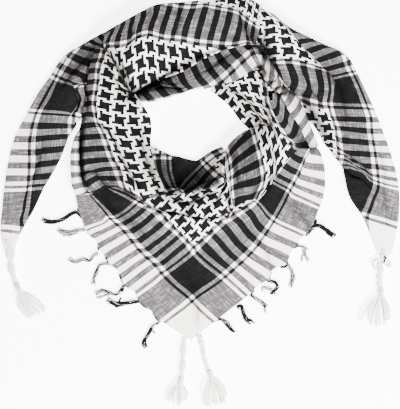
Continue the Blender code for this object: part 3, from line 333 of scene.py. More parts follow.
TOP_BAND: tuple[Row, ...] = (
    (4.3, 4.3, 28.5, (262, 7, 14.5), (259, 27, 19.2), (256.5, 43, 23.45), (259, 47, 23.6)),
    (4.3, 4.3, 31.2, (251, 1, 16.2), (247, 20, 19.2), (244.5, 41.5, 23.45), (245, 44.5, 23.3)),
    (4.1, 4.1, 32.55, (243, 1, 16.8), (240.5, 15, 19.2), (233, 43.5, 23.45), (234.5, 46.5, 23.4)),
    (3.8, 3.8, 34.03, (230.5, 1, 17.3), (229, 11.5, 19.2), (221, 43, 23.45), (222.5, 49, 23.8)),
    (3.6, 3.6, 35.6, (218, 2, 17.8), (217, 9, 19.2), (208.5, 42, 23.45), (211, 54, 24.5)),
    (3.5, 3.5, 37.05, (205.5, 2.5, 18.2), (205, 6.5, 19.2), (196, 40.8, 23.45), (199, 60, 25.4)),
    (3.5, 3.5, 38.5, (194, 3, 18.5), (193.3, 7, 19.1), (184, 38.5, 23.45), (187, 68.5, 26.7)),
    (3.5, 3.5, 40, (181.5, 4.2, 18.8), (180.5, 8.5, 19.4), (172, 37, 23.45), (174, 74, 27.5)),
    (3.5, 3.5, 41.5, (169, 5, 19.2), (168, 9.5, 19.8), (160.5, 35.5, 23.45), (161.5, 78, 28.2)),
    (3.5, 3.5, 43.05, (157, 6.5, 19.7), (156, 11, 20.3), (149.5, 32.5, 23.45), (151, 82.5, 29)),
    (3.5, 3.5, 44.45, (145, 11, 19.9), (144, 15, 20.5), (139, 35, 23.45), (141.5, 87, 29.3)),
    (3.5, 3.5, 45.95, (134, 16.5, 20.2), (133, 20, 20.7), (128, 41, 23.45), (133, 92, 29.2)),
    (3.5, 3.5, 47.45, (123, 22.5, 20.6), (122, 25.5, 21.1), (117, 43, 23.45), (126, 83, 27.7)),
    (3.5, 3.5, 48.9, (112, 30.5, 21.3), (111.5, 32.5, 21.6), (107, 43.5, 23.45), (114.5, 62, 25.2)),
    (3.5, 3.5, 50.2, (103, 37, 22), (102.8, 38.5, 22.2), (101.5, 43, 22.9), (104, 47.5, 23.5)),
)
LEFT_RISE: tuple[Row, ...] = (
    (2, 3, 23.7, (76, 197, 1.6), (85, 195.5, 3.4), (92, 194.5, 5), (107, 187.5, 7.2), (122.5, 188.5, 9.15),
     (141, 198, 11.7), (165, 195, 14.3)),
    (1.8, 3, 24.35, (75, 193, 1.7), (83, 191, 3.4), (89, 190, 5.1), (103, 183, 7.2), (120, 184, 9.15),
     (139.5, 192, 11.8), (163, 187.5, 14.7)),
    (1.6, 3, 25.1, (73, 187, 1.8), (80, 185.5, 3.4), (86, 184, 5.2), (97.5, 177.5, 7.2), (117, 178, 9.15),
     (138, 184, 11.9), (161.5, 182, 14.8)),
    (1, 3, 26.58, (71.5, 175, 2), (79, 175, 3.4), (82.5, 175, 6), (93, 170.5, 7.2), (113.3, 168.5, 9.15),
     (135.5, 175, 12), (159, 175, 15)),
    (1, 3, 28.06, (71, 163, 2.2), (78.3, 163, 3.4), (82, 163, 6), (92, 160.5, 7.2), (109, 160, 9.15),
     (132.5, 166.8, 12.2), (155.5, 167, 15.1)),
    (1, 3, 29.54, (71.5, 151, 2.4), (78.5, 150.5, 3.4), (82, 150, 6), (91, 149, 7.3), (105, 148.6, 9.15),
     (129.3, 155.5, 12.3), (152.4, 154, 15.2)),
    (1.2, 3, 31.02, (74.5, 138.5, 2.7), (81, 138, 3.9), (83, 138, 6), (90.5, 137.3, 7.6), (101, 137, 9.15),
     (126.7, 144, 12.4), (149.7, 143, 15.3)),
    (1.6, 2.6, 32.5, (79.5, 127.5, 3.2), (82.5, 127, 4.5), (84.5, 126.8, 6.3), (89.5, 126, 7.7),
     (96, 126, 9.15), (123.7, 132.5, 12.6), (150, 131, 15.8)),
    (2, 2.4, 33.98, (83.3, 115.5, 5.6), (85.1, 115.4, 6.2), (87, 115, 6.8), (90.3, 114.5, 7.9),
     (94.5, 114.4, 9.15), (121.6, 121, 12.6), (149, 120, 15.9)),
    (2, 2.3, 35.6, (86, 103, 6), (87.7, 103, 6.5), (89.5, 102.5, 7.1), (91.6, 102.2, 8.1), (94, 102, 9.15),
     (119.5, 108, 12.4), (144.5, 110.5, 15.4)),
    (2, 2.2, 37.15, (88, 92, 6.4), (89.7, 91.5, 6.9), (91.4, 91.5, 7.4), (93, 91.2, 8.3), (94.8, 91, 9.15),
     (116.5, 97, 12), (138.5, 102, 14.6)),
    (2, 2.2, 38.65, (90, 80.5, 6.8), (91.4, 80.3, 7.3), (92.8, 80.3, 7.8), (94.3, 80.1, 8.5),
     (96, 80, 9.15), (113.5, 86, 11.6), (131, 94, 13.6)),
    (2, 2.2, 40.1, (91, 70, 7.2), (92.5, 69.8, 7.6), (93.8, 69.8, 8), (95, 69.6, 8.6), (96.2, 69.5, 9.15),
     (110, 75, 11.1), (124.5, 82.5, 12.8)),
    (2, 2.2, 41.7, (93, 59.5, 7.4), (94.4, 59.5, 7.8), (95.6, 59.5, 8.1), (96.8, 59.2, 8.6), (98, 59, 9.15),
     (107, 62, 10.4), (117, 68, 11.8)),
    (2, 2.2, 43.3, (96, 49, 7.7), (97.2, 49, 8), (98.4, 49, 8.3), (99.2, 49, 8.7), (100, 49, 9.15),
     (104.5, 51, 9.8), (110, 54, 10.7)),
)
# Front, on lines of the weave: cut edge, outer line, inner line, hidden edge.
FRONT_LEFT: tuple[Row, ...] = (
    (1, 1, 0, (191, 341, 0), (216, 321, 4.95), (244, 299, 9.15), (253.5, 292, 10.6)),
    (1, 1, 4.95, (161.5, 321, 0), (191.5, 298.5, 4.95), (220.5, 278, 9.15), (229.5, 270, 10.6)),
    (1, 1, 9.15, (136.5, 296.5, 0), (166, 275, 4.95), (193, 254.5, 9.15), (202, 246, 10.6)),
    (1, 1, 10.6, (129, 288, 0), (158, 265, 4.95), (184.5, 243, 9.15), (193, 236, 10.6)),
    (1, 1, 13.49, (115, 268.5, 0), (141.8, 250, 4.95), (169, 229, 9.15), (177, 221, 10.6)),
    (1, 1, 16.13, (100, 247.5, 0), (126.5, 232, 4.95), (151, 214.5, 9.15), (158, 208, 10.6)),
    (1, 1, 18.85, (87.5, 228, 0), (111.5, 218.5, 4.95), (133, 203, 9.15), (139.5, 197, 10.6)),
    (1, 1, 21, (79, 210, 0), (101, 206.5, 4.95), (118.5, 194.5, 9.15), (125, 189, 10.6)),
    (1, 1, 22.95, (74.5, 195.5, 0), (90.5, 195, 4.95), (103.5, 187, 9.15), (109, 182, 10.6)),
)
FRONT_RIGHT: tuple[Row, ...] = (
    (1, 1, 10.6, (253.5, 292, 0), (229.5, 270, 4.95), (202, 246, 9.15), (193, 236, 10.6)),
    (1, 1, 13.88, (272.5, 270, 0), (247, 254, 4.95), (220, 229, 9.15), (212, 221, 10.6)),
    (1, 1, 16.6, (291, 250, 0), (262, 236, 4.95), (240, 215.5, 9.15), (232, 208, 10.6)),
    (1, 1, 18.8, (302.5, 236, 0), (272, 221, 4.95), (256, 204.5, 9.15), (249, 198, 10.6)),
    (1, 1, 21.3, (314.5, 219, 0), (281, 205, 4.95), (265, 192.5, 9.15), (258, 187, 10.6)),
    (0.8, 0.8, 23.65, (321, 205, 0), (289, 189.5, 4.95), (273.5, 181, 9.15), (266, 176, 10.6)),
    (0.5, 0.5, 25.7, (325, 190, 0), (294.5, 179.5, 4.95), (280, 172, 9.15), (272, 167, 10.6)),
    (0.2, 0.2, 27.05, (325.5, 177, 0), (299.5, 170.5, 4.95), (286, 163, 9.15), (279, 157, 10.6)),
    (0, 0, 28.6, (323.5, 161, 0.8), (306, 159.5, 4.4), (293, 154, 9.15), (286, 148, 10.6)),
    (0, 0, 30.1, (319, 149, 2), (309, 143, 5.6), (294, 144, 9.15), (285, 139, 10.6)),
    (0, 0, 31.4, (308, 136, 3.8), (299, 125, 6.7), (288, 137.5, 9.15), (279, 132, 10.6)),
    (0, 0, 32.9, (299, 122, 4.6), (290, 112, 6.9), (282, 127.5, 9.15), (273, 122, 10.6)),
    (0, 0, 34.4, (290, 106, 5), (281, 98, 6.8), (275.5, 116, 9.15), (266, 111, 10.6)),
    (0, 0, 35.9, (281, 93, 5.4), (275, 90, 7), (270, 103, 9.15), (261, 99, 10.6)),
)
COWL: tuple[Row, ...] = (
    (1.05, 1.6, 9.15, (193, 252.5, 9.15), (181, 240, 11.7), (166.5, 226.5, 14.4), (143, 206, 18.4)),
    (1.05, 2, 11.5, (208, 240, 9.15), (195, 227.5, 11.7), (181.5, 213.5, 14.4), (158, 191, 18.6)),
    (1.05, 2, 12.7, (215, 233.5, 9.15), (202.5, 220.5, 11.65), (191, 207.5, 14.1), (176, 194.5, 17.2)),
    (1.05, 2, 14, (222, 227, 9.15), (209.5, 214, 11.6), (200, 202.5, 13.8), (190, 193.5, 16)),
    (1.1, 2, 16.2, (231, 217, 9.15), (224.5, 207, 11.3), (217.5, 197, 13.2), (210, 189, 15.2)),
    (1.5, 2, 17.1, (233.2, 213, 9.2), (229, 203, 11), (225.5, 193.5, 12.8), (222, 185.5, 14.6)),
    (1.9, 2, 17.9, (234.3, 210.5, 9.5), (231, 197, 11.4), (227.8, 182, 13.4), (224.6, 165, 15.8)),
    (2, 2, 19, (234.6, 209, 10.3), (231.9, 191, 11.95), (230.2, 173, 14.25), (225.8, 150.5, 17)),
    (2, 2, 20.8, (241, 204.5, 10.5), (243, 187, 12), (241.5, 166, 14.2), (236, 138, 17)),
    (2, 2, 22.5, (248, 201, 10.6), (255.5, 184, 12), (254, 162, 13.9), (245, 131, 16.8)),
    (2, 2, 24.1, (259, 200, 10.4), (267, 180, 11.9), (264, 158, 13.8), (255, 129, 16.4)),
    (2, 2, 25.5, (270, 186, 10.5), (274, 172, 11.8), (270.5, 153, 13.5), (262, 128, 15.9)),
    (2, 2, 27.1, (282, 167, 10.6), (280.5, 159, 11.4), (278, 147, 12.7), (271, 126, 14.9)),
    (2, 2, 28.6, (297, 151, 10.6), (290, 147, 11.4), (285, 139, 12.4), (278, 124, 14.2)),
)
INNER_COWL: tuple[Row, ...] = (
    (0.6, 0.6, 26.6, (150, 147, 24.7), (153, 168, 22.2), (160, 190, 19.5), (164, 195, 18.9),
     (170, 202, 17.7), (176, 208, 16.6)),
    (0.6, 0.6, 25.1, (158, 150.5, 24.4), (160, 170, 21.9), (168, 188, 19.5), (172, 193, 18.8),
     (178, 200, 17.5), (184, 206, 16.3)),
    (0.6, 0.6, 24.35, (163.5, 153.5, 24), (165, 171, 21.7), (172.8, 187, 19.5), (177, 192, 18.7),
     (184, 199, 17.3), (189, 205, 16)),
    (0.6, 0.6, 23.45, (170, 156.3, 23.7), (171.5, 172, 21.6), (177.7, 187, 19.3), (182, 191, 18.4),
     (189, 198, 17), (194, 204, 15.8)),
    (0.6, 0.6, 22.2, (179.5, 158.5, 22.6), (182, 170, 20.8), (185.4, 180, 19.2), (189.5, 185, 18.37),
     (197, 192, 17), (203, 200, 15.5)),
    (0.6, 0.6, 21, (189, 161, 21.4), (190.5, 167, 20.3), (192.4, 173.2, 19.2), (196.5, 177.5, 18.37),
     (203.5, 185, 17), (211, 194, 15.2)),
    (0.6, 0.6, 19.9, (196.5, 161.8, 19.95), (197.7, 164.4, 19.6), (199, 167, 19.2), (203, 171, 18.37),
     (209, 178, 17), (218, 188, 15)),
    (0.6, 0.6, 19.2, (201, 159.8, 19.7), (202.2, 161.5, 19.45), (203.3, 163, 19.2), (207.3, 167, 18.37),
     (214, 173.5, 17), (226, 184, 14.8)),
    (0.6, 0.6, 18, (209, 154.3, 19.6), (210.3, 155.5, 19.4), (211.5, 156.8, 19.2), (215.5, 160.5, 18.37),
     (222, 167, 17), (232, 177, 15)),
    (0.6, 0.6, 17, (216.5, 150, 19.7), (217.8, 151.2, 19.45), (219, 152.5, 19.2), (223, 156.5, 18.37),
     (228, 162, 17), (234, 170, 15.4)),
    (0.6, 0.6, 16.2, (222.5, 147.5, 19.7), (223.5, 148.5, 19.45), (224.5, 149.6, 19.2), (227.5, 153, 18.4),
     (231.5, 158, 17.2), (236, 164, 15.8)),
)
RIGHT_RISE: tuple[Row, ...] = (
    (1, 1, 30.2, (289, 150, 9.3), (281, 140, 10.75), (272, 132, 12.1), (263.5, 127, 13.5),
     (262, 128.5, 13.7), (253, 132, 14.8)),
    (1, 1, 31.6, (284, 136, 9.3), (273, 127, 10.9), (263, 120.5, 12.6), (254, 117.5, 14),
     (252.5, 119.5, 14.2), (247, 126, 15.1)),
    (1, 1, 33, (278.5, 123, 9.3), (268, 115.5, 10.75), (257, 110, 12.45), (244, 111, 14.15),
     (243, 113.5, 14.4), (239, 118, 15.1)),
    (1, 1, 34.3, (273.5, 111, 9.3), (262, 105, 10.75), (250, 100, 12.45), (236, 103.5, 14.5),
     (234.5, 105.5, 14.8), (232, 108, 15.2)),
    (1, 1, 35.4, (270, 103.5, 9.3), (259, 98, 10.75), (246, 94.5, 12.5), (231, 98, 14.5), (229, 101, 14.8),
     (227.5, 103, 15.1)),
    (1, 1, 37, (266, 88, 9.3), (254, 84, 10.75), (240, 84, 12.6), (225, 90, 14.5), (221, 94, 15),
     (219, 96, 15.3)),
    (1, 1, 38.5, (262, 74, 9.3), (249, 72, 10.9), (234, 76, 13), (218, 84, 14.9), (214, 87, 15.4),
     (211.5, 89.5, 15.7)),
)
BACK_BAND: tuple[Row, ...] = (
    (1, 1, 30.6, (127, 82, 8.4), (133, 90, 7.3), (137, 95, 6.5), (140.5, 101.5, 5.5), (141.5, 103, 5.3)),
    (1, 1, 31.58, (137, 80, 8.6), (142, 89.5, 7.4), (146, 95, 6.5), (151, 100.3, 5.4), (152, 101.3, 5.2)),
    (1, 1, 33.2, (151, 79, 8.7), (157, 86, 7.4), (161, 92, 6.4), (166.5, 96.8, 5.4), (167.5, 97.6, 5.2)),
    (1, 1, 34.82, (163, 73, 9.2), (169, 80.5, 7.9), (175, 87.5, 6.6), (181, 92.7, 5.5), (182, 93.5, 5.3)),
    (1, 1, 36.44, (177, 66, 9.3), (181, 74, 8.2), (184.5, 82, 6.7), (190, 88.6, 5.5), (191, 89.5, 5.3)),
    (1, 1, 38.06, (189, 56, 9.3), (193.5, 66, 8), (199, 78, 6.6), (206.5, 86, 5.2), (208, 88, 4.9)),
    (1, 1.6, 39.68, (200, 49, 9.3), (205, 60, 8), (211, 71, 6.4), (218.5, 80.2, 5.05), (222, 83.5, 4.4)),
    (1.4, 2, 41.3, (212, 45, 9.3), (218.5, 56.5, 7.6), (225, 65.5, 6), (230.5, 70, 5.05), (236, 80, 3.6)),
    (2, 2, 42.92, (225, 41, 8.9), (231, 49.5, 7.4), (236.5, 56.5, 5.8), (240.5, 60, 5.05), (249, 72, 3.3)),
    (2, 2, 44.54, (238, 39, 8.2), (243.5, 46, 6.6), (248, 51, 5.5), (250.5, 53.3, 5.05), (260, 71, 2.4)),
    (2, 2, 46.16, (250, 40, 7), (254, 46, 5.9), (257, 50, 5.3), (259.5, 53, 4.9), (270, 76, 1.6)),
    (2, 2, 46.9, (256, 42, 6.6), (260, 47, 5.6), (263, 52, 5), (265, 56, 4.5), (272, 84, 1)),
)
TURNED_MARGIN: tuple[Row, ...] = (
    (3.2, 3.2, 46.3, (262, 53, 4.4), (262, 60, 3.7), (261, 67, 2.9), (259.5, 73, 2.1)),
    (3.2, 3.2, 45, (269, 60.5, 4.4), (269, 69, 3.7), (269, 77, 2.9), (268, 84, 2.1)),
    (3.2, 3.2, 43.2, (277.5, 72.5, 4.4), (278, 79, 3.7), (277, 85, 2.9), (275, 91, 2.1)),
    (3.2, 3.2, 41, (286.5, 86.5, 4.4), (285, 91, 3.7), (283, 95, 2.9), (281, 98, 2.1)),
    (3.2, 2.4, 39, (297, 98, 4.4), (294.5, 103, 3.7), (291.5, 107, 2.9), (288, 110, 2.1)),
    (2.4, 2, 37, (304.5, 113.5, 4.4), (302.5, 117, 3.7), (300, 120.5, 2.9), (297.5, 123, 2.1)),
    (2, 2, 35.1, (311.5, 129, 4.4), (310, 132, 3.7), (308, 135, 2.9), (306, 138, 2.1)),
    (2, 2, 33.3, (317.5, 145, 4.4), (317, 147.5, 3.7), (316, 150, 2.9), (314.5, 152, 2.1)),
)


# ---------------- colours and shader nodes


def linear(colour: str) -> tuple[float, float, float, float]:
    """Turns an sRGB hex colour into linear values.

    Args:
        colour: The colour as "#rrggbb".

    Returns:
        Red, green, blue and an alpha of 1.
    """
    levels = [int(colour[i : i + 2], 16) / 255 for i in (1, 3, 5)]
    red, green, blue = (v / 12.92 if v <= 0.04045 else ((v + 0.055) / 1.055) ** 2.4
                        for v in levels)
    return red, green, blue, 1.0


def set_inputs(node: bpy.types.Node, inputs: dict[Any, Any]) -> None:
    """Gives a shader node its values and links.

    Args:
        node: The node.
        inputs: Values or output sockets, by the name or number of the input.
    """
    for key, value in inputs.items():
        if isinstance(value, bpy.types.NodeSocket):
            node.id_data.links.new(value, node.inputs[key])
        else:
            node.inputs[key].default_value = value


def add_node(tree: bpy.types.NodeTree, kind: str, inputs: dict[Any, Any] | None = None,
             **settings: Any) -> bpy.types.Node:
    """Adds one shader node with its settings, values and links.

    Args:
        tree: The node tree to add to.
        kind: The node's type name.
        inputs: What set_inputs takes.
        **settings: Properties of the node itself.

    Returns:
        The new node.
    """
    made = tree.nodes.new(kind)
    for name, value in settings.items():
        setattr(made, name, value)
    set_inputs(made, inputs or {})
    return made


def new_material(name: str) -> tuple[Material, bpy.types.NodeTree, bpy.types.Node]:
    """Makes a material to fill in.

    Args:
        name: Its name.

    Returns:
        The material, its node tree and its shader.
    """
    made = bpy.data.materials.new(name)
    made.use_nodes = True
    return made, made.node_tree, made.node_tree.nodes["Principled BSDF"]


class Sums:
    """Short sums of shader sockets in one node tree."""

    def __init__(self, tree: bpy.types.NodeTree) -> None:
        """Keeps the tree that the nodes go into."""
        self.tree = tree

    def do(self, operation: str, *values: Any) -> bpy.types.NodeSocket:
        """Adds one Math node and gives its output.

        Args:
            operation: The Math node's operation.
            *values: Numbers or sockets.

        Returns:
            The output socket.
        """
        node = add_node(self.tree, "ShaderNodeMath", dict(enumerate(values)),
                        operation=operation)
        return node.outputs[0]

    def either(self, first: Any, second: Any, share: Any) -> bpy.types.NodeSocket:
        """Mixes two values.

        Args:
            first: The value where the share is 0.
            second: The value where it is 1.
            share: The share of the second.

        Returns:
            The output socket.
        """
        node = add_node(self.tree, "ShaderNodeMix",
                        {"Factor": share, "A": first, "B": second}, data_type="FLOAT")
        return node.outputs["Result"]


# ---------------- finishes


@dataclass(frozen=True)
class Threads:
    """Woven stripes of one system of threads, in cm from its nearest cut edge."""

    first_bar: float
    bar_pitch: float
    bars_end: float
    field_bar: float
    field_pitch: float
    bars_start: float = 9.85
    field_start: float = 24.0
    middle: float = 40.25    # the middle of a bar, a quarter of its repeat, and whole repeats
    # Where black threads start and stop in the border, outside the even bars.
    black: tuple[tuple[float, float], ...] = (
        (4.42, 4.82), (5.3, 9.1), (9.47, 9.85), (18.72, 19.05), (19.4, 23.3), (23.62, 24.0))


WARP = Threads(first_bar=10.74, bar_pitch=1.645, bars_end=18.5, field_bar=25.1,
               field_pitch=1.62)
WEFT = Threads(first_bar=10.9, bar_pitch=1.36, bars_end=18.6, field_bar=25.1,
               field_pitch=1.48)


@dataclass(frozen=True)
class WovenCotton:
    """Light cotton woven from black and off-white yarn.

    Woven cotton scatters light evenly and has almost no gloss; its slubs show as faint streaks
    along the threads, most of all where black crosses white.
    """

    name: str = "woven_cotton"
    black: str = "#0b0b0c"
    grey: str = "#4b4849"       # white yarn crossed by black, as the eye mixes them
    white: str = "#f3eee7"
    streak: float = 0.42        # how much that grey varies along the threads
    crossing: float = 0.35      # share of that grey's change that the crossing threads make
    soil: float = 0.16          # how much the threads vary in plain black and white
    square: float = 0.67        # side of a houndstooth square, share of its repeat
    shade_shrink: float = 0.08           # how much smaller squares are drawn where shade is painted
    spur: float = 0.235         # width of a houndstooth spur, share of the repeat
    spur_long: float = 0.18     # length of a spur, share of the repeat
    root: float = 0.01          # how far a spur reaches back into its square, and
    brim: float = 0.001         # over the square's side, so that no gap shows
    slub_mm: float = 1.7        # drawn coarser than the 0.5 mm yarn, so that it shows
    slub_long_mm: float = 16.0
    thread_mm: float = 1.5      # pitch of the raised weave, two yarns, so that it shows
    weave_share: float = 0.25   # height of the weave, as a share of the slubs'
    bump: float = 0.35
    relief: float = 0.00025     # height of the slubs, metres
    roughness: float = 0.95
    ior: float = 1.45           # typical of cotton, whose fibres are porous
    specular: float = 0.05      # almost none: threads shade each other
    sheen: float = 0.01
    clear: tuple[float, float, float] = (0.6, 0.6, 0.0)  # moves the plan clear of 0, metres

    def bars(self, sums: Sums, at: Any, threads: Threads) -> tuple[Any, Any, Any]:
        """Works out the threads of one system at a cloth coordinate.

        Args:
            sums: The node maker.
            at: The distance from the nearest cut edge, in cm.
            threads: The system's stripes.

        Returns:
            How black the threads are, whether this is an even bar field, and the place inside
            the repeat of the bars, from 0 to 1.
        """
        do = sums.do
        inner = do("GREATER_THAN", at, threads.field_start)
        first = sums.either(threads.first_bar, threads.field_bar, inner)
        pitch = sums.either(threads.bar_pitch, threads.field_pitch, inner)
        turn = do("FRACT", do("ADD", do("DIVIDE", do("SUBTRACT", at, first), pitch),
                               threads.middle))
        bar = do("LESS_THAN", turn, 0.5)
        outer = do("MULTIPLY", do("GREATER_THAN", at, threads.bars_start),
                   do("LESS_THAN", at, threads.bars_end))
        even = do("MAXIMUM", inner, outer)
        solid: Any = 0.0
        for start, stop in threads.black:
            inside = do("MULTIPLY", do("GREATER_THAN", at, start), do("LESS_THAN", at, stop))
            solid = do("MAXIMUM", solid, inside)
        return sums.either(solid, bar, even), even, turn

    def houndstooth(self, sums: Sums, a: Any, b: Any, lost: Any) -> Any:
        """Works out where crossed bars show black, as squares with four spurs.

        Args:
            sums: The node maker.
            a: Place inside the warp's repeat, from 0 to 1.
            b: Place inside the weft's repeat, from 0 to 1.
            lost: Share of the colour that is darkened there as painted shade.

        Returns:
            A socket that is 1 where the cloth is black.
        """
        do = sums.do
        # Where shade is painted, the houndstooth squares are drawn smaller.
        side = do("SUBTRACT", self.square, do("MULTIPLY", lost, self.shade_shrink))
        grown = do("MULTIPLY", do("SUBTRACT", side, 0.5), 0.5)
        a = do("FRACT", do("ADD", a, grown))
        b = do("FRACT", do("ADD", b, grown))
        past_a, past_b = do("SUBTRACT", a, side), do("SUBTRACT", b, side)
        left_a, left_b = do("SUBTRACT", side, a), do("SUBTRACT", side, b)
        before_a, before_b = do("SUBTRACT", 1.0, a), do("SUBTRACT", 1.0, b)
        black = do("MULTIPLY", do("LESS_THAN", a, side), do("LESS_THAN", b, side))
        for out, into in ((past_a, left_b), (before_a, b), (past_b, a), (before_b, left_a)):
            inside = do("MULTIPLY", do("GREATER_THAN", out, -self.root),
                        do("LESS_THAN", out, self.spur_long))
            there = do("MULTIPLY", do("GREATER_THAN", into, -self.brim),
                       do("LESS_THAN", into, self.spur))
            black = do("MAXIMUM", black, do("MULTIPLY", inside, there))
        return black

    def streaks(self, tree: bpy.types.NodeTree, source: Any, across: int) -> Any:
        """Adds the slubs of one system of threads, drawn out along them.

        Args:
            tree: The node tree.
            source: The cloth coordinates.
            across: Which coordinate runs across the threads, 0 or 1.

        Returns:
            The noise's output.
        """
        scale = [1000 / self.slub_long_mm, 1000 / self.slub_long_mm, 1.0]
        scale[across] = 1000 / self.slub_mm
        moved = add_node(tree, "ShaderNodeMapping", {"Vector": source, "Scale": scale})
        noise = add_node(tree, "ShaderNodeTexNoise",
                         {"Vector": moved.outputs[0], "Scale": 1.0, "Detail": 2.0})
        return noise.outputs["Fac"]

    def source(self, tree: bpy.types.NodeTree, from_object: bool) -> Any:
        """Finds what the stripes follow.

        Args:
            tree: The node tree.
            from_object: Takes the plan, moved clear of 0, as for hidden folds.

        Returns:
            The cloth coordinates, or that plan.
        """
        if not from_object:
            return add_node(tree, "ShaderNodeUVMap", uv_map="cloth").outputs[0]
        plan = add_node(tree, "ShaderNodeTexCoord").outputs["Object"]
        moved = add_node(tree, "ShaderNodeMapping",
                         {"Vector": plan, "Location": self.clear})
        return moved.outputs[0]

    def material(self, from_object: bool = False) -> Material:
        """Makes the cloth material.

        Args:
            from_object: As in source.

        Returns:
            The new material.
        """
        made, tree, shader = new_material(self.name + ("_hidden" if from_object else ""))
        sums = Sums(tree)
        do = sums.do
        source = self.source(tree, from_object)
        place = add_node(tree, "ShaderNodeSeparateXYZ", {0: source})
        signed = [do("MULTIPLY", place.outputs[i], 100.0) for i in (0, 1)]
        at = [do("ABSOLUTE", s) for s in signed]
        warp, warp_even, a = self.bars(sums, at[0], WARP)
        weft, weft_even, b = self.bars(sums, at[1], WEFT)
        flips = [do("LESS_THAN", s, 0.0) for s in signed]
        a, b = (sums.either(p, do("SUBTRACT", 1.0, p), flip) for p, flip in zip((a, b), flips))
        # Painted shade: the share of darkening stored on the cloth's points.
        lost = add_node(tree, "ShaderNodeAttribute", attribute_name="painted_shade").outputs["Fac"]
        tooth = self.houndstooth(sums, a, b, lost)
        field_share = do("MULTIPLY", warp_even, weft_even)

        streaks = [self.streaks(tree, source, across) for across in (0, 1)]
        slub = sums.either(sums.either(streaks[1], streaks[0], warp),
                           sums.either(streaks[0], streaks[1], warp), self.crossing)
        grey = do("ADD", 0.5 - self.streak / 2, do("MULTIPLY", slub, self.streak))
        crossed = do("ABSOLUTE", do("SUBTRACT", warp, weft))
        plain = do("ADD", do("MULTIPLY", warp, weft), do("MULTIPLY", crossed, grey))
        dark = sums.either(plain, tooth, field_share)
        soft = do("MULTIPLY", do("SUBTRACT", do("ADD", streaks[0], streaks[1]), 1.0), self.soil)
        ramp = add_node(tree, "ShaderNodeValToRGB", {"Fac": do("ADD", dark, soft)})
        stops = ramp.color_ramp.elements
        stops[0].color, stops[1].color = linear(self.white), linear(self.black)
        stops.new(0.5).color = linear(self.grey)

        turns = 2 * math.pi * 1000 / self.thread_mm
        waves = [do("SINE", do("MULTIPLY", place.outputs[across], turns)) for across in (0, 1)]
        weave = do("MULTIPLY", do("ADD", waves[0], waves[1]), self.weave_share)
        height = do("ADD", weave, do("ADD", streaks[0], streaks[1]))
        bump = add_node(tree, "ShaderNodeBump",
                        {"Strength": self.bump, "Distance": self.relief, "Height": height})
        # Painted shade: the base colour is darkened by that share.
        shaded_colour = add_node(tree, "ShaderNodeVectorMath",
                         {0: ramp.outputs["Color"], "Scale": do("SUBTRACT", 1.0, lost)},
                         operation="SCALE")
        set_inputs(shader, {"Base Color": shaded_colour.outputs[0], "Normal": bump.outputs[0],
                            "Roughness": self.roughness, "IOR": self.ior,
                            "Specular IOR Level": self.specular, "Sheen Weight": self.sheen})
        return made


@dataclass(frozen=True)
class Yarn:
    """Loose cotton yarn: matt, with a little darker and lighter fibre along it."""

    name: str
    colour: str
    shade: str
    fibre_mm: float = 1.1
    bump: float = 0.4
    relief: float = 0.0002      # height of the fibres, metres
    roughness: float = 0.95
    specular: float = 0.08

    def material(self) -> Material:
        """Makes the yarn material.

        Returns:
            The new material.
        """
        made, tree, shader = new_material(self.name)
        source = add_node(tree, "ShaderNodeTexCoord").outputs["Object"]
        noise = add_node(tree, "ShaderNodeTexNoise",
                         {"Vector": source, "Scale": 1000 / self.fibre_mm, "Detail": 3.0})
        colour = add_node(tree, "ShaderNodeMix", {"Factor": noise.outputs["Fac"]},
                          data_type="RGBA")
        set_inputs(colour, {"A": linear(self.shade), "B": linear(self.colour)})
        bump = add_node(tree, "ShaderNodeBump",
                        {"Strength": self.bump, "Distance": self.relief,
                         "Height": noise.outputs["Fac"]})
        set_inputs(shader, {"Base Color": colour.outputs["Result"], "Normal": bump.outputs[0],
                            "Roughness": self.roughness, "Specular IOR Level": self.specular})
        return made


# ---------------- form of the heap


def legs(x: Array, y: Array, row: Row) -> Iterator[tuple[Array, ...]]:
    """Measures points against each straight leg of a line.

    Args:
        x: Plan x.
        y: Plan y.
        row: A width, then the line's points (x, y, value).

    Yields:
        For each leg, the x and y parts of the way to its nearest point, the value there, and
        how far each point lies to the left of the leg.
    """
    for (x0, y0, v0), (x1, y1, v1) in zip(row[1:], row[2:]):
        dx, dy = x1 - x0, y1 - y0
        along = np.clip(((x - x0) * dx + (y - y0) * dy) / (dx * dx + dy * dy), 0, 1)
        left = (dy * (x - x0) - dx * (y - y0)) / math.hypot(dx, dy)
        yield x0 + along * dx - x, y0 + along * dy - y, v0 + along * (v1 - v0), left


def nearest_leg(x: Array, y: Array, row: Row) -> tuple[Array, ...]:
    """Measures points against the nearest leg of a line.

    Args:
        x: Plan x.
        y: Plan y.
        row: A width, then the line's points (x, y, value).

    Returns:
        The distance from the line, then what legs gives for the nearest leg.
    """
    best = [np.full(x.shape, np.inf)] + [np.zeros_like(x) for _ in range(4)]
    for measured in legs(x, y, row):
        away = np.hypot(measured[0], measured[1])
        closer = away < best[0]
        best = [np.where(closer, new, old) for new, old in zip((away, *measured), best)]
    return tuple(best)


def ridge_height(x: Array, y: Array, row: Row) -> Array:
    """Height of one round ridge over its crest line.

    Args:
        x: Plan x.
        y: Plan y.
        row: Half width, then the crest's points with their heights.

    Returns:
        The height at each point, in the row's own unit.
    """
    best = np.zeros_like(x)
    for out_x, out_y, height, _ in legs(x, y, row):
        share = np.clip(np.hypot(out_x, out_y) / row[0], 0, 1)
        best = np.maximum(best, height * (0.5 + 0.5 * np.cos(np.pi * share)))
    return best


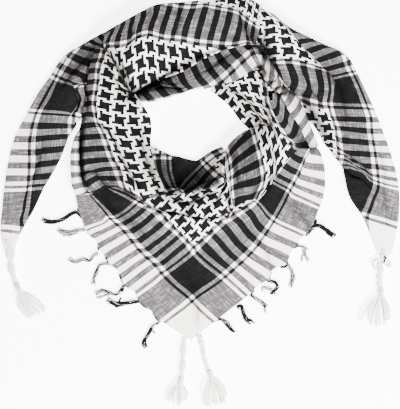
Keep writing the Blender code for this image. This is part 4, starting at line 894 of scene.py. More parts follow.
def fold_effect(x: Array, y: Array, row: Row) -> tuple[Array, ...]:
    """Depth of one fine fold, and how far it draws the cloth towards its line.

    Args:
        x: Plan x.
        y: Plan y.
        row: Half width, then the fold's points with their depths in mm.

    Returns:
        The depth in mm and the two parts of the pull, in plan steps.
    """
    away, to_x, to_y, depth, _ = nearest_leg(x, y, row)
    share = away / row[0]
    pull = np.minimum(FOLD_PULL * depth, MOST_PULL * row[0]) * np.exp(1 - share) / row[0]
    sunk = FOLD_DEPTH * depth * np.clip(1 - share, 0, 1) ** FOLD_SHARPNESS
    return sunk, to_x * pull, to_y * pull


def drawn_in(x: Array, y: Array) -> tuple[Array, Array]:
    """Plan points after the fine folds have drawn the cloth in."""
    effects = [fold_effect(x, y, row) for row in FOLDS.values()]
    return x + sum(e[1] for e in effects), y + sum(e[2] for e in effects)


def shelf_height(x: Array, y: Array, row: Row) -> Array:
    """Rise in mm behind an edge that stands above what lies beside it.

    Args:
        x: Plan x.
        y: Plan y.
        row: Length over which the rise fades, then the edge's points with their rise in mm.
            The raised side lies on the left of the edge, for one who follows it.

    Returns:
        The rise at each point.
    """
    away, _, _, rise, left = nearest_leg(x, y, row)
    return rise * np.exp(-away / row[0]) * np.clip(left / SHELF_SLOPE + 0.5, 0, 1)


def cloth_height(x: Array, y: Array, layer: Array) -> Array:
    """Works out the form of the heap, which every stretch of cloth follows.

    Args:
        x: Plan x.
        y: Plan y.
        layer: The layer of each point, counted from the floor.

    Returns:
        The height of each point in metres.
    """
    powers = (ridge_height(x, y, row) ** RIDGE_BLEND for row in RIDGES.values())
    ridges = sum(powers) ** (1 / RIDGE_BLEND)
    creases = sum(ridge_height(x, y, row) for row in CREASES.values())
    shelves = sum(shelf_height(x, y, row) for row in SHELVES.values())
    folds = sum(fold_effect(x, y, row)[0] for row in FOLDS.values())
    folds = folds + sum(ridge_height(x, y, row) for row in HOLLOWS.values())
    heap = 0.001 * (np.maximum(ridges - creases, 0) + shelves - folds) + layer * LAYER
    return BASE + np.maximum(heap, PRESSED * layer * LAYER)


def painted_shade_share(x: Array, y: Array) -> Array:
    """Works out the painted shade: the colour is darkened in fine folds and in shaded places.

    Args:
        x: Plan x.
        y: Plan y.

    Returns:
        The share of the cloth's colour that is darkened as painted shade at each point.
    """
    # Painted shade: deeper fine folds and the shaded places are painted darker.
    folds = sum(fold_effect(x, y, row)[0] for row in FOLDS.values())
    kept = np.exp(-((folds / FOLD_SHADE_DEPTH) ** FOLD_SHADE_CURVE))
    for row in PAINTED_SHADE_PLACES.values():
        kept = kept * (1 - ridge_height(x, y, row))
    return 1 - kept


def resample(points: Array, knots: Sequence[float], at: Sequence[float]) -> Array:
    """Reads smooth curves through rows of points.

    Args:
        points: The points, with their rows on the first axis.
        knots: The place of each row along the curves.
        at: The places to read.

    Returns:
        One row for each place.
    """
    knots, at = np.asarray(knots, float), np.asarray(at, float)
    slope = np.gradient(points, knots, axis=0)
    low = np.clip(np.searchsorted(knots, at, side="right") - 1, 0, len(knots) - 2)
    wide = (-1,) + (1,) * (points.ndim - 1)
    gap = (knots[low + 1] - knots[low]).reshape(wide)
    s = (at - knots[low]).reshape(wide) / gap
    return (points[low] * (2 * s**3 - 3 * s**2 + 1) + points[low + 1] * (3 * s**2 - 2 * s**3)
            + slope[low] * gap * (s**3 - 2 * s**2 + s) + slope[low + 1] * gap * (s**3 - s**2))


def mean_knots(points: Array) -> Array:
    """Knots along the first axis, at the mean plan distance between neighbours."""
    steps = np.linalg.norm(np.diff(points[..., :2], axis=0), axis=-1).mean(axis=1)
    return np.concatenate([[0], np.cumsum(steps)])


def spread(knots: Array) -> Array:
    """Even places from the first knot to the last, about a block apart."""
    return np.linspace(knots[0], knots[-1], round((knots[-1] - knots[0]) / BLOCK) + 1)


def eased(share: Array) -> Array:
    """A share from 0 to 1, made to start and end gently."""
    return share * share * (3 - 2 * share)


def plan_stack(x: Array, y: Array, *more: Any) -> Array:
    """Turns plan points to metres.

    Args:
        x: Plan x.
        y: Plan y.
        *more: Values to keep after the place.

    Returns:
        The points, with their values on the last axis.
    """
    values = np.broadcast_arrays((x - PLAN_X) * STEP, (PLAN_Y - y) * STEP, *more)
    return np.stack(values, axis=-1)


def plan_sides(path: Array) -> Array:
    """Finds the directions across a path.

    Args:
        path: Points that start with plan x and plan y.

    Returns:
        A unit direction in plan for each point.
    """
    ahead = np.gradient(path[:, :2], axis=0)
    side = np.stack([-ahead[:, 1], ahead[:, 0]], axis=1)
    return side / np.linalg.norm(side, axis=1, keepdims=True)


def control_points(table: Sequence[Row], across: Across) -> Array:
    """Control points of a table.

    Args:
        table: The rows.
        across: Which cloth coordinate the columns give.

    Returns:
        An array (rows, columns, 5): plan x, plan y, layer, warp and weft coordinate in cm.
    """
    rows = []
    for first, last, along, *points in table:
        layers = np.linspace(first, last, len(points))
        row = [(x, y, layer, side, along) if across is Across.WARP
               else (x, y, layer, along, side) for (x, y, side), layer in zip(points, layers)]
        rows.append(row)
    return np.array(rows, float)


def placed(grid: Array) -> Array:
    """Lays a grid on the heap.

    Args:
        grid: Points with plan x, plan y, layer and two cloth coordinates in cm.

    Returns:
        The points in metres, their cloth coordinates in metres and the share of painted shade.
    """
    x, y = drawn_in(grid[..., 0], grid[..., 1])
    height = cloth_height(x, y, grid[..., 2])
    return plan_stack(x, y, height, grid[..., 3] / 100, grid[..., 4] / 100, painted_shade_share(x, y))


@dataclass(frozen=True)
class Roll:
    """One side edge rolled down: to the floor between two shares of its length, and only a
    little outside them."""

    side: Side
    start: float = -1.0      # shares of the edge's length
    stop: float = 2.0
    change: float = 0.05     # share of the length over which the drop comes and goes
    radius: float = 0.0017   # of the turn over the edge, metres
    short: float = 0.0007    # drop outside those shares, metres
    least: float = 0.0003    # drop where the cloth already lies on the floor, metres
    lean: float = 0.15       # how far the falling cloth leans back, as a share of the radius
    used: float = 0.004      # drop that takes as much cloth as the last two columns, metres
    turns: tuple[float, ...] = (0.35, 0.7, 1.0)
    falls: tuple[float, ...] = (0.3, 0.65, 1.0)

    def apply(self, grid: Array) -> Array:
        """Adds the rolled edge to a grid of placed points.

        Args:
            grid: The grid, with six values a point.

        Returns:
            The grid with more columns on that side.
        """
        lines = grid if self.side is Side.LAST else grid[:, ::-1]
        edge, before = lines[:, -1], lines[:, -3]
        out = edge[:, :2] - before[:, :2]
        out = out / np.linalg.norm(out, axis=1, keepdims=True)
        place = np.linspace(0, 1, len(edge))
        inside = np.clip((place - self.start) / self.change + 0.5, 0, 1)
        inside = eased(inside * np.clip((self.stop - place) / self.change + 0.5, 0, 1))
        full = np.maximum(edge[:, 2] - FLOOR_ROLL, self.least)
        drop = np.minimum(full, self.short) * (1 - inside) + full * inside
        radius = np.minimum(self.radius, drop)
        angles = [turn * math.pi / 2 for turn in self.turns]
        added = [(radius * math.sin(angle), radius * (1 - math.cos(angle))) for angle in angles]
        added += [(radius * (1 - self.lean * share), radius + (drop - radius) * share)
                  for share in self.falls]
        result = [lines]
        for reach, fall in added:
            line = edge.copy()
            line[:, :2] += out * reach[:, None]
            line[:, 2] -= fall
            line[:, CUT] += (edge - before)[:, CUT] * (fall / self.used)[:, None]
            result.append(line[:, None])
        lines = np.concatenate(result, axis=1)
        return lines if self.side is Side.LAST else lines[:, ::-1]


@dataclass(frozen=True)
class Lead:
    """The weave running ahead along a stretch, on one side of a fold or a bend.

    It grows between two places across, in cm, and its amounts are pairs of a place along the
    stretch and the lead there, in cm.
    """

    across: tuple[float, float]
    amounts: tuple[tuple[float, float], ...]

    def apply(self, grid: Array, across: Across) -> None:
        """Shifts the cloth coordinates of a grid in place.

        Args:
            grid: Points with their cloth coordinates in cm, from column 3 on.
            across: Which cloth coordinate runs across the stretch.
        """
        side, along = across.value
        grown = (grid[..., side] - self.across[0]) / (self.across[1] - self.across[0])
        grown = eased(np.clip(grown, 0, 1))
        places, leads = zip(*self.amounts)
        grid[..., along] += grown * np.interp(grid[..., along], places, leads)


# ---------------- mesh helpers


def face_areas(points: Array) -> Array:
    """Measures the faces of a grid.

    Args:
        points: The grid's points, in the plane or in space.

    Returns:
        The area of each face.
    """
    rises = points[1:, :-1] - points[:-1, :-1], points[1:, 1:] - points[:-1, 1:]
    runs = points[:-1, 1:] - points[:-1, :-1], points[1:, 1:] - points[1:, :-1]
    total = np.zeros(rises[0].shape[:2])
    for rise, run in zip(rises, runs):
        if points.shape[-1] == 2:
            total += np.abs(rise[..., 0] * run[..., 1] - rise[..., 1] * run[..., 0]) / 2
        else:
            total += np.linalg.norm(np.cross(rise, run), axis=-1) / 2
    return total


def cut_size(grids: list[Array]) -> tuple[tuple[float, float], float]:
    """Sides and area in metres of the cloth that shows in some grids, laid out flat.

    Cloth drawn into a fold doesn't show, so a face counts for little more than its surface.

    Args:
        grids: Placed grids with their cloth coordinates.

    Returns:
        The sides of the cut's box, and the area of the cloth that shows.
    """
    cloth = np.concatenate([grid[..., CUT].reshape(-1, 2) for grid in grids])
    wide, long = (float(v) for v in np.ptp(cloth, axis=0))
    area = real = 0.0
    for grid in grids:
        surface, cut = face_areas(grid[..., PLACE]), face_areas(grid[..., CUT])
        real += float(surface.sum())
        area += float(np.minimum(cut, TUCKED * surface).sum())
    log.info("cut %.3f x %.3f m, area %.4f, surface %.4f, share %.2f", wide, long, area, real,
             real / area)
    return (wide, long), area


def select_only(piece: Piece) -> None:
    """Leaves one object selected and active.

    Args:
        piece: The object.
    """
    bpy.ops.object.select_all(action="DESELECT")
    piece.select_set(True)
    bpy.context.view_layer.objects.active = piece


def grid_piece(name: str, grid: Array) -> Piece:
    """A grid primitive shaped to the points, with the cloth coordinates as its UV map.

    Args:
        name: The piece's name.
        grid: Points with their cloth coordinates and painted shade (rows, columns, 6).

    Returns:
        The new object.
    """
    rows, columns = grid.shape[:2]
    bpy.ops.object.select_all(action="DESELECT")
    bpy.ops.mesh.primitive_grid_add(x_subdivisions=columns - 1, y_subdivisions=rows - 1, size=1)
    piece = bpy.context.object
    piece.name = name
    mesh = piece.data
    mesh.name = name
    flat = grid.reshape(rows * columns, -1)
    mesh.vertices.foreach_set("co", flat[:, PLACE].astype(np.float32).ravel())
    layer = mesh.uv_layers[0]
    layer.name = "cloth"
    corners = np.empty(len(mesh.loops), np.int32)
    mesh.loops.foreach_get("vertex_index", corners)
    layer.data.foreach_set("uv", flat[corners, CUT].astype(np.float32).ravel())
    # Painted shade: its share is kept on each point for the cloth material.
    painted_shade = mesh.attributes.new("painted_shade", "FLOAT", "POINT")
    painted_shade.data.foreach_set("value", np.clip(flat[:, PAINTED_SHADE_SLOT], 0, 1).astype(np.float32))
    mesh.update()
    corner, across, along = grid[0, 0, PLACE], grid[0, 1, PLACE], grid[1, 0, PLACE]
    if np.cross(across - corner, along - corner)[2] < 0:
        mesh.flip_normals()
    return piece


def joined(pieces: list[Piece], merge: float = 0.0) -> Piece:
    """Joins objects into the first one.

    Args:
        pieces: The objects.
        merge: Distance under which points become one, or 0 for none.

    Returns:
        The first object.
    """
    select_only(pieces[0])
    for piece in pieces:
        piece.select_set(True)
    bpy.ops.object.join()
    if merge:
        bpy.ops.object.mode_set(mode="EDIT")
        bpy.ops.mesh.select_all(action="SELECT")
        bpy.ops.mesh.remove_doubles(threshold=merge)
        bpy.ops.object.mode_set(mode="OBJECT")
    return pieces[0]


def finish_cloth(piece: Piece, material: Material) -> None:
    """Gives a shell its wall, under its face, smooth shading and its finish.

    Args:
        piece: The shell.
        material: The cloth.
    """
    select_only(piece)
    wall = piece.modifiers.new("wall", "SOLIDIFY")
    wall.thickness = CLOTH
    wall.offset = -1
    wall.use_even_offset = False
    bpy.ops.object.modifier_apply(modifier=wall.name)
    bpy.ops.object.shade_smooth_by_angle(angle=SMOOTH)
    piece.data.materials.clear()
    piece.data.materials.append(material)


def strands(name: str, lines: list[Array], radius: float,
            material: Material, sides: int = 1) -> Piece:
    """Round strands of yarn along lines of points, as one mesh.

    Args:
        name: The piece's name.
        lines: For each strand its points (count, 4): place in metres and relative thickness.
        radius: The yarn's radius, in metres.
        material: Its finish.
        sides: Bevel resolution of the round.

    Returns:
        The new object.
    """
    curve = bpy.data.curves.new(name, "CURVE")
    curve.dimensions = "3D"
    curve.bevel_depth = radius
    curve.bevel_resolution = sides
    curve.use_fill_caps = True
    for line in lines:
        spline = curve.splines.new("POLY")
        spline.points.add(len(line) - 1)
        for point, (x, y, z, thick) in zip(spline.points, line):
            point.co = (x, y, z, 1)
            point.radius = thick
    piece = bpy.data.objects.new(name, curve)
    bpy.context.collection.objects.link(piece)
    piece.data.materials.append(material)
    select_only(piece)
    bpy.ops.object.convert(target="MESH")
    piece = bpy.context.object
    bpy.ops.object.shade_smooth()
    return piece


def metres(x: float, y: float, z: float = 0.0) -> Array:
    """A plan point and a height in metres as a point."""
    return np.array([(x - PLAN_X) * STEP, (PLAN_Y - y) * STEP, z])


def smooth_path(points: Sequence[Sequence[float]], count: int) -> Array:
    """Draws a smooth path through points.

    Args:
        points: Points that start with plan x and plan y.
        count: How many points to read from the path.

    Returns:
        The path's points, evenly spaced.
    """
    array = np.array(points, float)
    knots = np.concatenate([[0], np.cumsum(np.linalg.norm(np.diff(array[:, :2], axis=0),
                                                          axis=1))])
    return resample(array, knots, np.linspace(0, knots[-1], count))


# ---------------- sub-assemblies


@dataclass
class Stretch:
    """One stretch of the cloth that shows, from its table of sections."""

    node: str
    table: tuple[Row, ...]
    across: Across
    rests_on: str
    rolls: tuple[Roll, ...] = ()
    leads: tuple[Lead, ...] = ()
    crease: int = 0          # the column where a sharp fold starts; it ends at the next one

    def creased(self, points: Array) -> Array:
        """Adds a column just before the sharp fold and one just after it.

        Args:
            points: The table's control points.

        Returns:
            The control points with two more columns.
        """
        first, last = self.crease, self.crease + 1
        before = points[:, first] + SHARP * (points[:, first - 1] - points[:, first])
        after = points[:, last] + SHARP * (points[:, last + 1] - points[:, last])
        return np.insert(points, [first, last + 1], np.stack([before, after], axis=1), axis=1)

    def surface(self) -> Array:
        """Works out the face of the cloth.

        Returns:
            A fine grid with its cloth coordinates and painted shade.
        """
        points = control_points(self.table, self.across)
        if self.crease:
            points = self.creased(points)
        rows = mean_knots(points)
        points = resample(points, rows, spread(rows)).transpose(1, 0, 2)
        columns = mean_knots(points)
        grid = resample(points, columns, spread(columns)).transpose(1, 0, 2)
        for lead in self.leads:
            lead.apply(grid, self.across)
        grid = placed(grid)
        for roll in self.rolls:
            grid = roll.apply(grid)
        return grid

    def build(self, material: Material) -> None:
        """Builds the stretch, dresses it and ties it to its solid.

        Args:
            material: The cloth.
        """
        grid = self.surface()
        piece = grid_piece(self.node + "_cloth", grid)
        finish_cloth(piece, material)
        tie(piece, self.node)
        flat, area = cut_size([grid])


def tie(piece: Piece, node: str) -> None:
    """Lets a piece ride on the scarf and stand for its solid.

    Args:
        piece: The finished piece.
        node: The solid that it stands for.
    """
    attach(piece, "root")
    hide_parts(node)
    log.info("%s: %d faces", piece.name, len(piece.data.polygons))


@dataclass
class Front:
    """The fringed triangle in front: its upper and lower half."""

    lines: tuple[float, ...] = (0, 4.95, 9.15, 10.6)   # columns of both tables, in cm
    left_end: float = 22.95  # where the left side ends, in cm
    right_end: float = 35.95
    fine: float = 0.17       # spacing of the mesh lines, in cm
    rim: tuple[float, ...] = (0, 0.1, 0.25)            # first lines at the cut edge, in cm
    tuck: float = 0.9        # layers by which the hidden edge dips under what covers it
    inset: float = 1.2       # how far the lower half stays back from the edge, in cm
    lower_left: float = 18.2     # how far up the left side the lower half shows, in cm
    lower_right: float = 20.2
    drop: float = 1.0        # layers by which the lower half lies lower
    inner: int = 8           # a column that shows which way is inwards from the edge
    seam: float = 0.00002    # distance under which the two sides' points become one, metres
    # How far the cut edge bows out between its knots: place along it in cm, plan steps out.
    left_edge: tuple[tuple[float, float], ...] = (
        (4.6, 0), (5.3, 1.6), (6.7, -0.4), (7.8, 1.1), (8.7, 0.5), (9.9, -1.8), (10.6, 0.8),
        (11.4, 2.3), (12.5, -0.4), (13.2, -0.8), (14.2, 1.8), (15.0, 0.6), (15.7, 2.6),
        (16.6, 0.6), (17.4, 0.2), (18.8, 3.2), (20.0, 1.2), (22.5, 0))
    right_edge: tuple[tuple[float, float], ...] = (
        (10.7, 0), (11.0, -1.2), (11.8, 0.2), (12.7, 3.8), (13.7, 0.3), (14.3, 1.2),
        (15.1, 5.5), (16.3, 2.0), (17.3, 1.2), (18.1, 0.3), (19.6, 1.4), (20.4, 1.8),
        (22.5, 0))
    edge_reach: float = 1.1  # how far into the cloth that bow is felt, in cm
    left_leads: tuple[Lead, ...] = (
        Lead((4.5, 5.5), ((9.3, 0.0), (10.4, 0.5), (19.0, 0.5), (20.5, 0.2))),
        Lead((4.4, 3.0), ((9.3, 0.1), (11.0, -0.1), (18.0, 0.0), (19.0, 0.3), (22.0, 0.2))),
    )
    right_leads: tuple[Lead, ...] = (
        Lead((5.0, 4.0), ((19.0, 0.0), (22.5, 0.4), (24.5, 0.2), (27.0, 0.4), (30.0, 0.5))),
        Lead((6.0, 8.5), ((11.0, -0.25), (14.0, -0.3), (17.5, -0.3), (19.5, 0.0))),
    )

    def bow(self, grid: Array, across: Across, edge: Sequence[tuple[float, float]]) -> None:
        """Bows the cut edge of a grid in place.

        Args:
            grid: Points with their cloth coordinates in cm.
            across: Which cloth coordinate runs across the grid.
            edge: Pairs of a place along the edge in cm and the plan steps outwards there.
        """
        side, along = across.value
        out = plan_sides(grid[:, 0])
        inwards = grid[:, self.inner, :2] - grid[:, 0, :2]
        out *= -np.sign((out * inwards).sum(axis=1, keepdims=True))
        places, steps = zip(*edge)
        reach = np.interp(grid[:, 0, along], places, steps, left=0, right=0)
        share = np.exp(-grid[..., side] / self.edge_reach)
        grid[..., :2] += out[:, None] * (reach[:, None] * share)[..., None]

    def places(self) -> tuple[Array, Array, Array]:
        """Lists the places of the mesh lines, in cm.

        Returns:
            Those across, along the left side and along the right arm.
        """
        corner = self.lines[-1]
        across = np.unique([*self.rim, *np.arange(self.rim[-1], corner, self.fine),
                            *self.lines[2:]])
        left = np.arange(corner + self.fine, self.left_end - self.fine / 2, self.fine)
        right = np.arange(corner, self.right_end, self.fine)
        return across, np.concatenate([across, left, [self.left_end]]), right

    def grids(self) -> tuple[Array, Array]:
        """Works out the upper half, whose two sides share the line where they meet.

        Returns:
            The left side and the right arm.
        """
        across, *rows = self.places()
        sides = []
        for table, kind, places in zip((FRONT_LEFT, FRONT_RIGHT), Across, rows):
            points = control_points(table, kind)
            open_rows = points[:, 0, kind.value[1]] >= self.lines[2]
            points[open_rows, -1, 2] -= self.tuck
            points = resample(points, [row[2] for row in table], places)
            side = resample(points.transpose(1, 0, 2), self.lines, across)
            sides.append(side.transpose(1, 0, 2))
        left, right = sides
        self.bow(left, Across.WARP, self.left_edge)
        self.bow(right, Across.WEFT, self.right_edge)
        right[0] = left[: len(across), -1]
        for lead in self.left_leads:
            lead.apply(left, Across.WARP)
        for lead in self.right_leads:
            lead.apply(right, Across.WEFT)
        return left, right

    def lower_grids(self, left: Array, right: Array) -> tuple[Array, ...]:
        """Takes the lower half from the upper one, a layer lower and further in.

        Args:
            left: The upper half's left side.
            right: Its right side.

        Returns:
            The two sides of the lower half.
        """
        across, left_rows, right_rows = self.places()
        shown = across >= self.inset
        left_shown = (left_rows >= self.inset) & (left_rows < self.lower_left)
        lower = left[left_shown][:, shown], right[right_rows < self.lower_right][:, shown]
        for grid in lower:
            grid[..., 2] = np.maximum(grid[..., 2] - self.drop, 0)
        return lower

    def build(self, material: Material) -> None:
        """Builds both halves, dresses them and ties them to their solids.

        Args:
            material: The cloth.
        """
        upper = self.grids()
        halves = {"front": upper, "front_lower_half": self.lower_grids(*upper)}
        for node, grids in halves.items():
            sides = [placed(grid) for grid in grids]
            piece = joined([grid_piece(node + "_cloth", side) for side in sides], self.seam)
            finish_cloth(piece, material)
            tie(piece, node)
            flat, area = cut_size(sides)


class Shade(Enum):
    """Colour of a fringe lock; the value is the share of its ends that are off-white."""

    DARK = 0.08
    MIXED = 0.5
    LIGHT = 0.72


# Locks of the fringe and dark runs along the edge: width in plan steps, number of ends, shade,
# then the plan points of their path.
LEFT_LOCKS: tuple[Row, ...] = (
    (3.4, 24, Shade.DARK, (80, 215), (76, 212), (70, 214.5), (63, 219), (54, 221.5), (44, 221),
     (38, 217.5)),
    (2.6, 7, Shade.DARK, (78, 208), (79, 212), (82, 219)),
    (3, 18, Shade.MIXED, (85, 230), (78, 230), (70, 232), (62, 231.5), (55, 228)),
    (1.6, 6, Shade.LIGHT, (78, 232), (70, 235), (58, 234)),
    (1.3, 6, Shade.DARK, (84, 221), (85.5, 229)),
    (1.2, 5, Shade.DARK, (87, 232), (94, 239)),
    (2.8, 15, Shade.LIGHT, (98, 253), (93, 256), (89, 261), (83, 259), (75, 262), (67, 256)),
    (1.3, 4, Shade.DARK, (97.5, 247), (99, 251)),
    (1.4, 6, Shade.DARK, (105, 257), (108, 262), (110, 264), (115, 268)),
    (2.6, 15, Shade.MIXED, (110, 264.5), (104, 263.5), (98.5, 266), (96.5, 272), (94, 278), (93.5, 284),
     (92.5, 288)),
    (1.5, 6, Shade.DARK, (119, 274), (122, 281), (124.5, 285), (129, 287)),
    (3.2, 12, Shade.DARK, (125, 284), (122.5, 288), (120, 293)),
    (2.6, 14, Shade.MIXED, (120, 292), (115, 295), (108, 292), (101, 291), (93, 295)),
    (1.6, 5, Shade.LIGHT, (112, 294), (103, 296), (95, 299)),
    (1, 3, Shade.LIGHT, (128, 288), (134, 290.5)),
    (3.6, 26, Shade.DARK, (140, 301), (134, 302), (125, 303.5), (114, 303.5), (105, 297.5)),
    (1.4, 5, Shade.DARK, (128, 304), (120, 306), (114, 308)),
    (1.2, 3, Shade.DARK, (121, 298), (118, 302)),
    (1.9, 9, Shade.DARK, (137, 296), (142, 304), (150, 310)),
    (1.5, 7, Shade.DARK, (153, 313), (157, 319.5), (162, 322)),
    (2, 8, Shade.MIXED, (160, 321), (157, 324), (152, 327), (150, 331)),
    (3.2, 18, Shade.DARK, (151.5, 328), (148, 335), (144.5, 340), (144, 344), (147, 349.5)),
    (1.2, 3, Shade.DARK, (152, 331), (156, 334)),
)
RIGHT_LOCKS: tuple[Row, ...] = (
    (3.4, 24, Shade.DARK, (309, 231), (313, 227), (318, 225.5), (325, 229), (331, 234), (337, 238)),
    (3.4, 12, Shade.DARK, (315.5, 219), (315, 225), (309, 231), (303.5, 236)),
    (1.6, 7, Shade.MIXED, (296, 246), (302, 246.5), (306, 249), (309, 251)),
    (1.6, 5, Shade.MIXED, (303.5, 249), (303, 256), (301, 263)),
    (2.2, 8, Shade.LIGHT, (304, 250), (306, 256), (310, 262)),
    (1.2, 4, Shade.DARK, (298, 243), (295, 250)),
    (1.6, 7, Shade.DARK, (288.5, 256), (287.5, 261), (286.5, 266), (279, 267.5)),
    (2.6, 14, Shade.MIXED, (288, 264), (291, 270), (292.5, 276), (292, 282), (289, 289)),
    (1.2, 4, Shade.LIGHT, (292, 268), (295, 277), (291, 287)),
    (1.5, 6, Shade.DARK, (271, 272), (269.5, 277), (269, 281), (266, 281.5)),
    (2.8, 16, Shade.DARK, (270, 281), (276, 283), (278, 286), (274.5, 291), (270, 296)),
    (3.6, 9, Shade.LIGHT, (272, 290), (267, 288), (260, 290)),
    (1.4, 5, Shade.DARK, (254, 291), (251, 295), (255, 296)),
    (3, 14, Shade.LIGHT, (250, 295), (256, 298.5), (262, 303), (268, 308)),
    (1.4, 4, Shade.LIGHT, (259, 301), (264, 307), (267, 315)),
    (3.6, 26, Shade.DARK, (237, 308), (240.5, 306), (244, 314), (247, 320), (252, 323.5), (253, 326)),
    (2.6, 10, Shade.DARK, (219, 319), (223, 320.5), (228, 327), (233, 331), (238, 333)),
    (2.4, 6, Shade.MIXED, (222, 319), (228, 323), (232, 329)),
    (1, 4, Shade.DARK, (212, 322.5), (220, 319)),
)


@dataclass
class FringedEdge:
    """Knotted locks of loose thread ends along one cut edge."""

    node: str
    locks: tuple[Row, ...]
    seed: int
    steps: int = 16              # points along a lock
    thread: float = 0.00076      # radius of a loose end at the knot, metres
    thinning: float = 0.4        # how much thinner and lower an end lies at its tip
    base: float = 0.0009         # height of the thinnest lock, metres
    rise: float = 0.0003         # how much higher it lies for each step of its width, metres
    lift: float = 0.9            # how far the ends rise and sink round that, as a share
    swing: float = 0.58          # how far they swing to the sides, as a share of the width
    turns: tuple[float, float] = (7, 11)      # swings along an end, radians
    opening: float = 0.7         # how much a lock opens out at its tip
    stray: float = 0.9           # how far an end strays there, plan steps

    def loose_end(self, path: Array, width: float, draw: np.random.Generator) -> Array:
        """One end of a lock, winding loosely round its path.

        Args:
            path: Plan points of the lock.
            width: The lock's width in plan steps.
            draw: Source of seeded numbers.

        Returns:
            The strand's points.
        """
        share = np.linspace(0, 1, len(path))
        turn = draw.uniform(0, 2 * math.pi)
        loose = 0.75 + self.opening * share**2 * draw.uniform(0.3, 1.0)
        swing = np.sin(turn + share * draw.uniform(*self.turns))
        lift = self.lift * np.cos(turn + share * draw.uniform(*self.turns))
        stop = int(len(path) * draw.uniform(0.82, 1.0))
        stray = draw.uniform(-1, 1) * self.stray * share**2
        x, y = (path + plan_sides(path) * (swing * loose * width * self.swing + stray)[:, None]).T
        z = self.base + self.rise * width * (1 + lift) * (1 - self.thinning * share)
        return plan_stack(x, y, z, 1.1 - self.thinning * share)[:stop]

    def build(self, dark: Material, light: Material) -> None:
        """Builds the locks, dresses them and ties them to their solid.

        Args:
            dark: Finish of black ends.
            light: Finish of off-white ends.
        """
        draw = np.random.default_rng(self.seed)
        ends: dict[bool, list[Array]] = {False: [], True: []}
        for width, count, shade, *points in self.locks:
            path = smooth_path(points, self.steps)
            for _ in range(count):
                is_light = bool(draw.random() < shade.value)
                ends[is_light].append(self.loose_end(path, width, draw))
        piece = joined([strands(f"{self.node}_yarn", ends[False], self.thread, dark, 0),
                        strands(f"{self.node}_light", ends[True], self.thread, light, 0)])
        tie(piece, self.node)


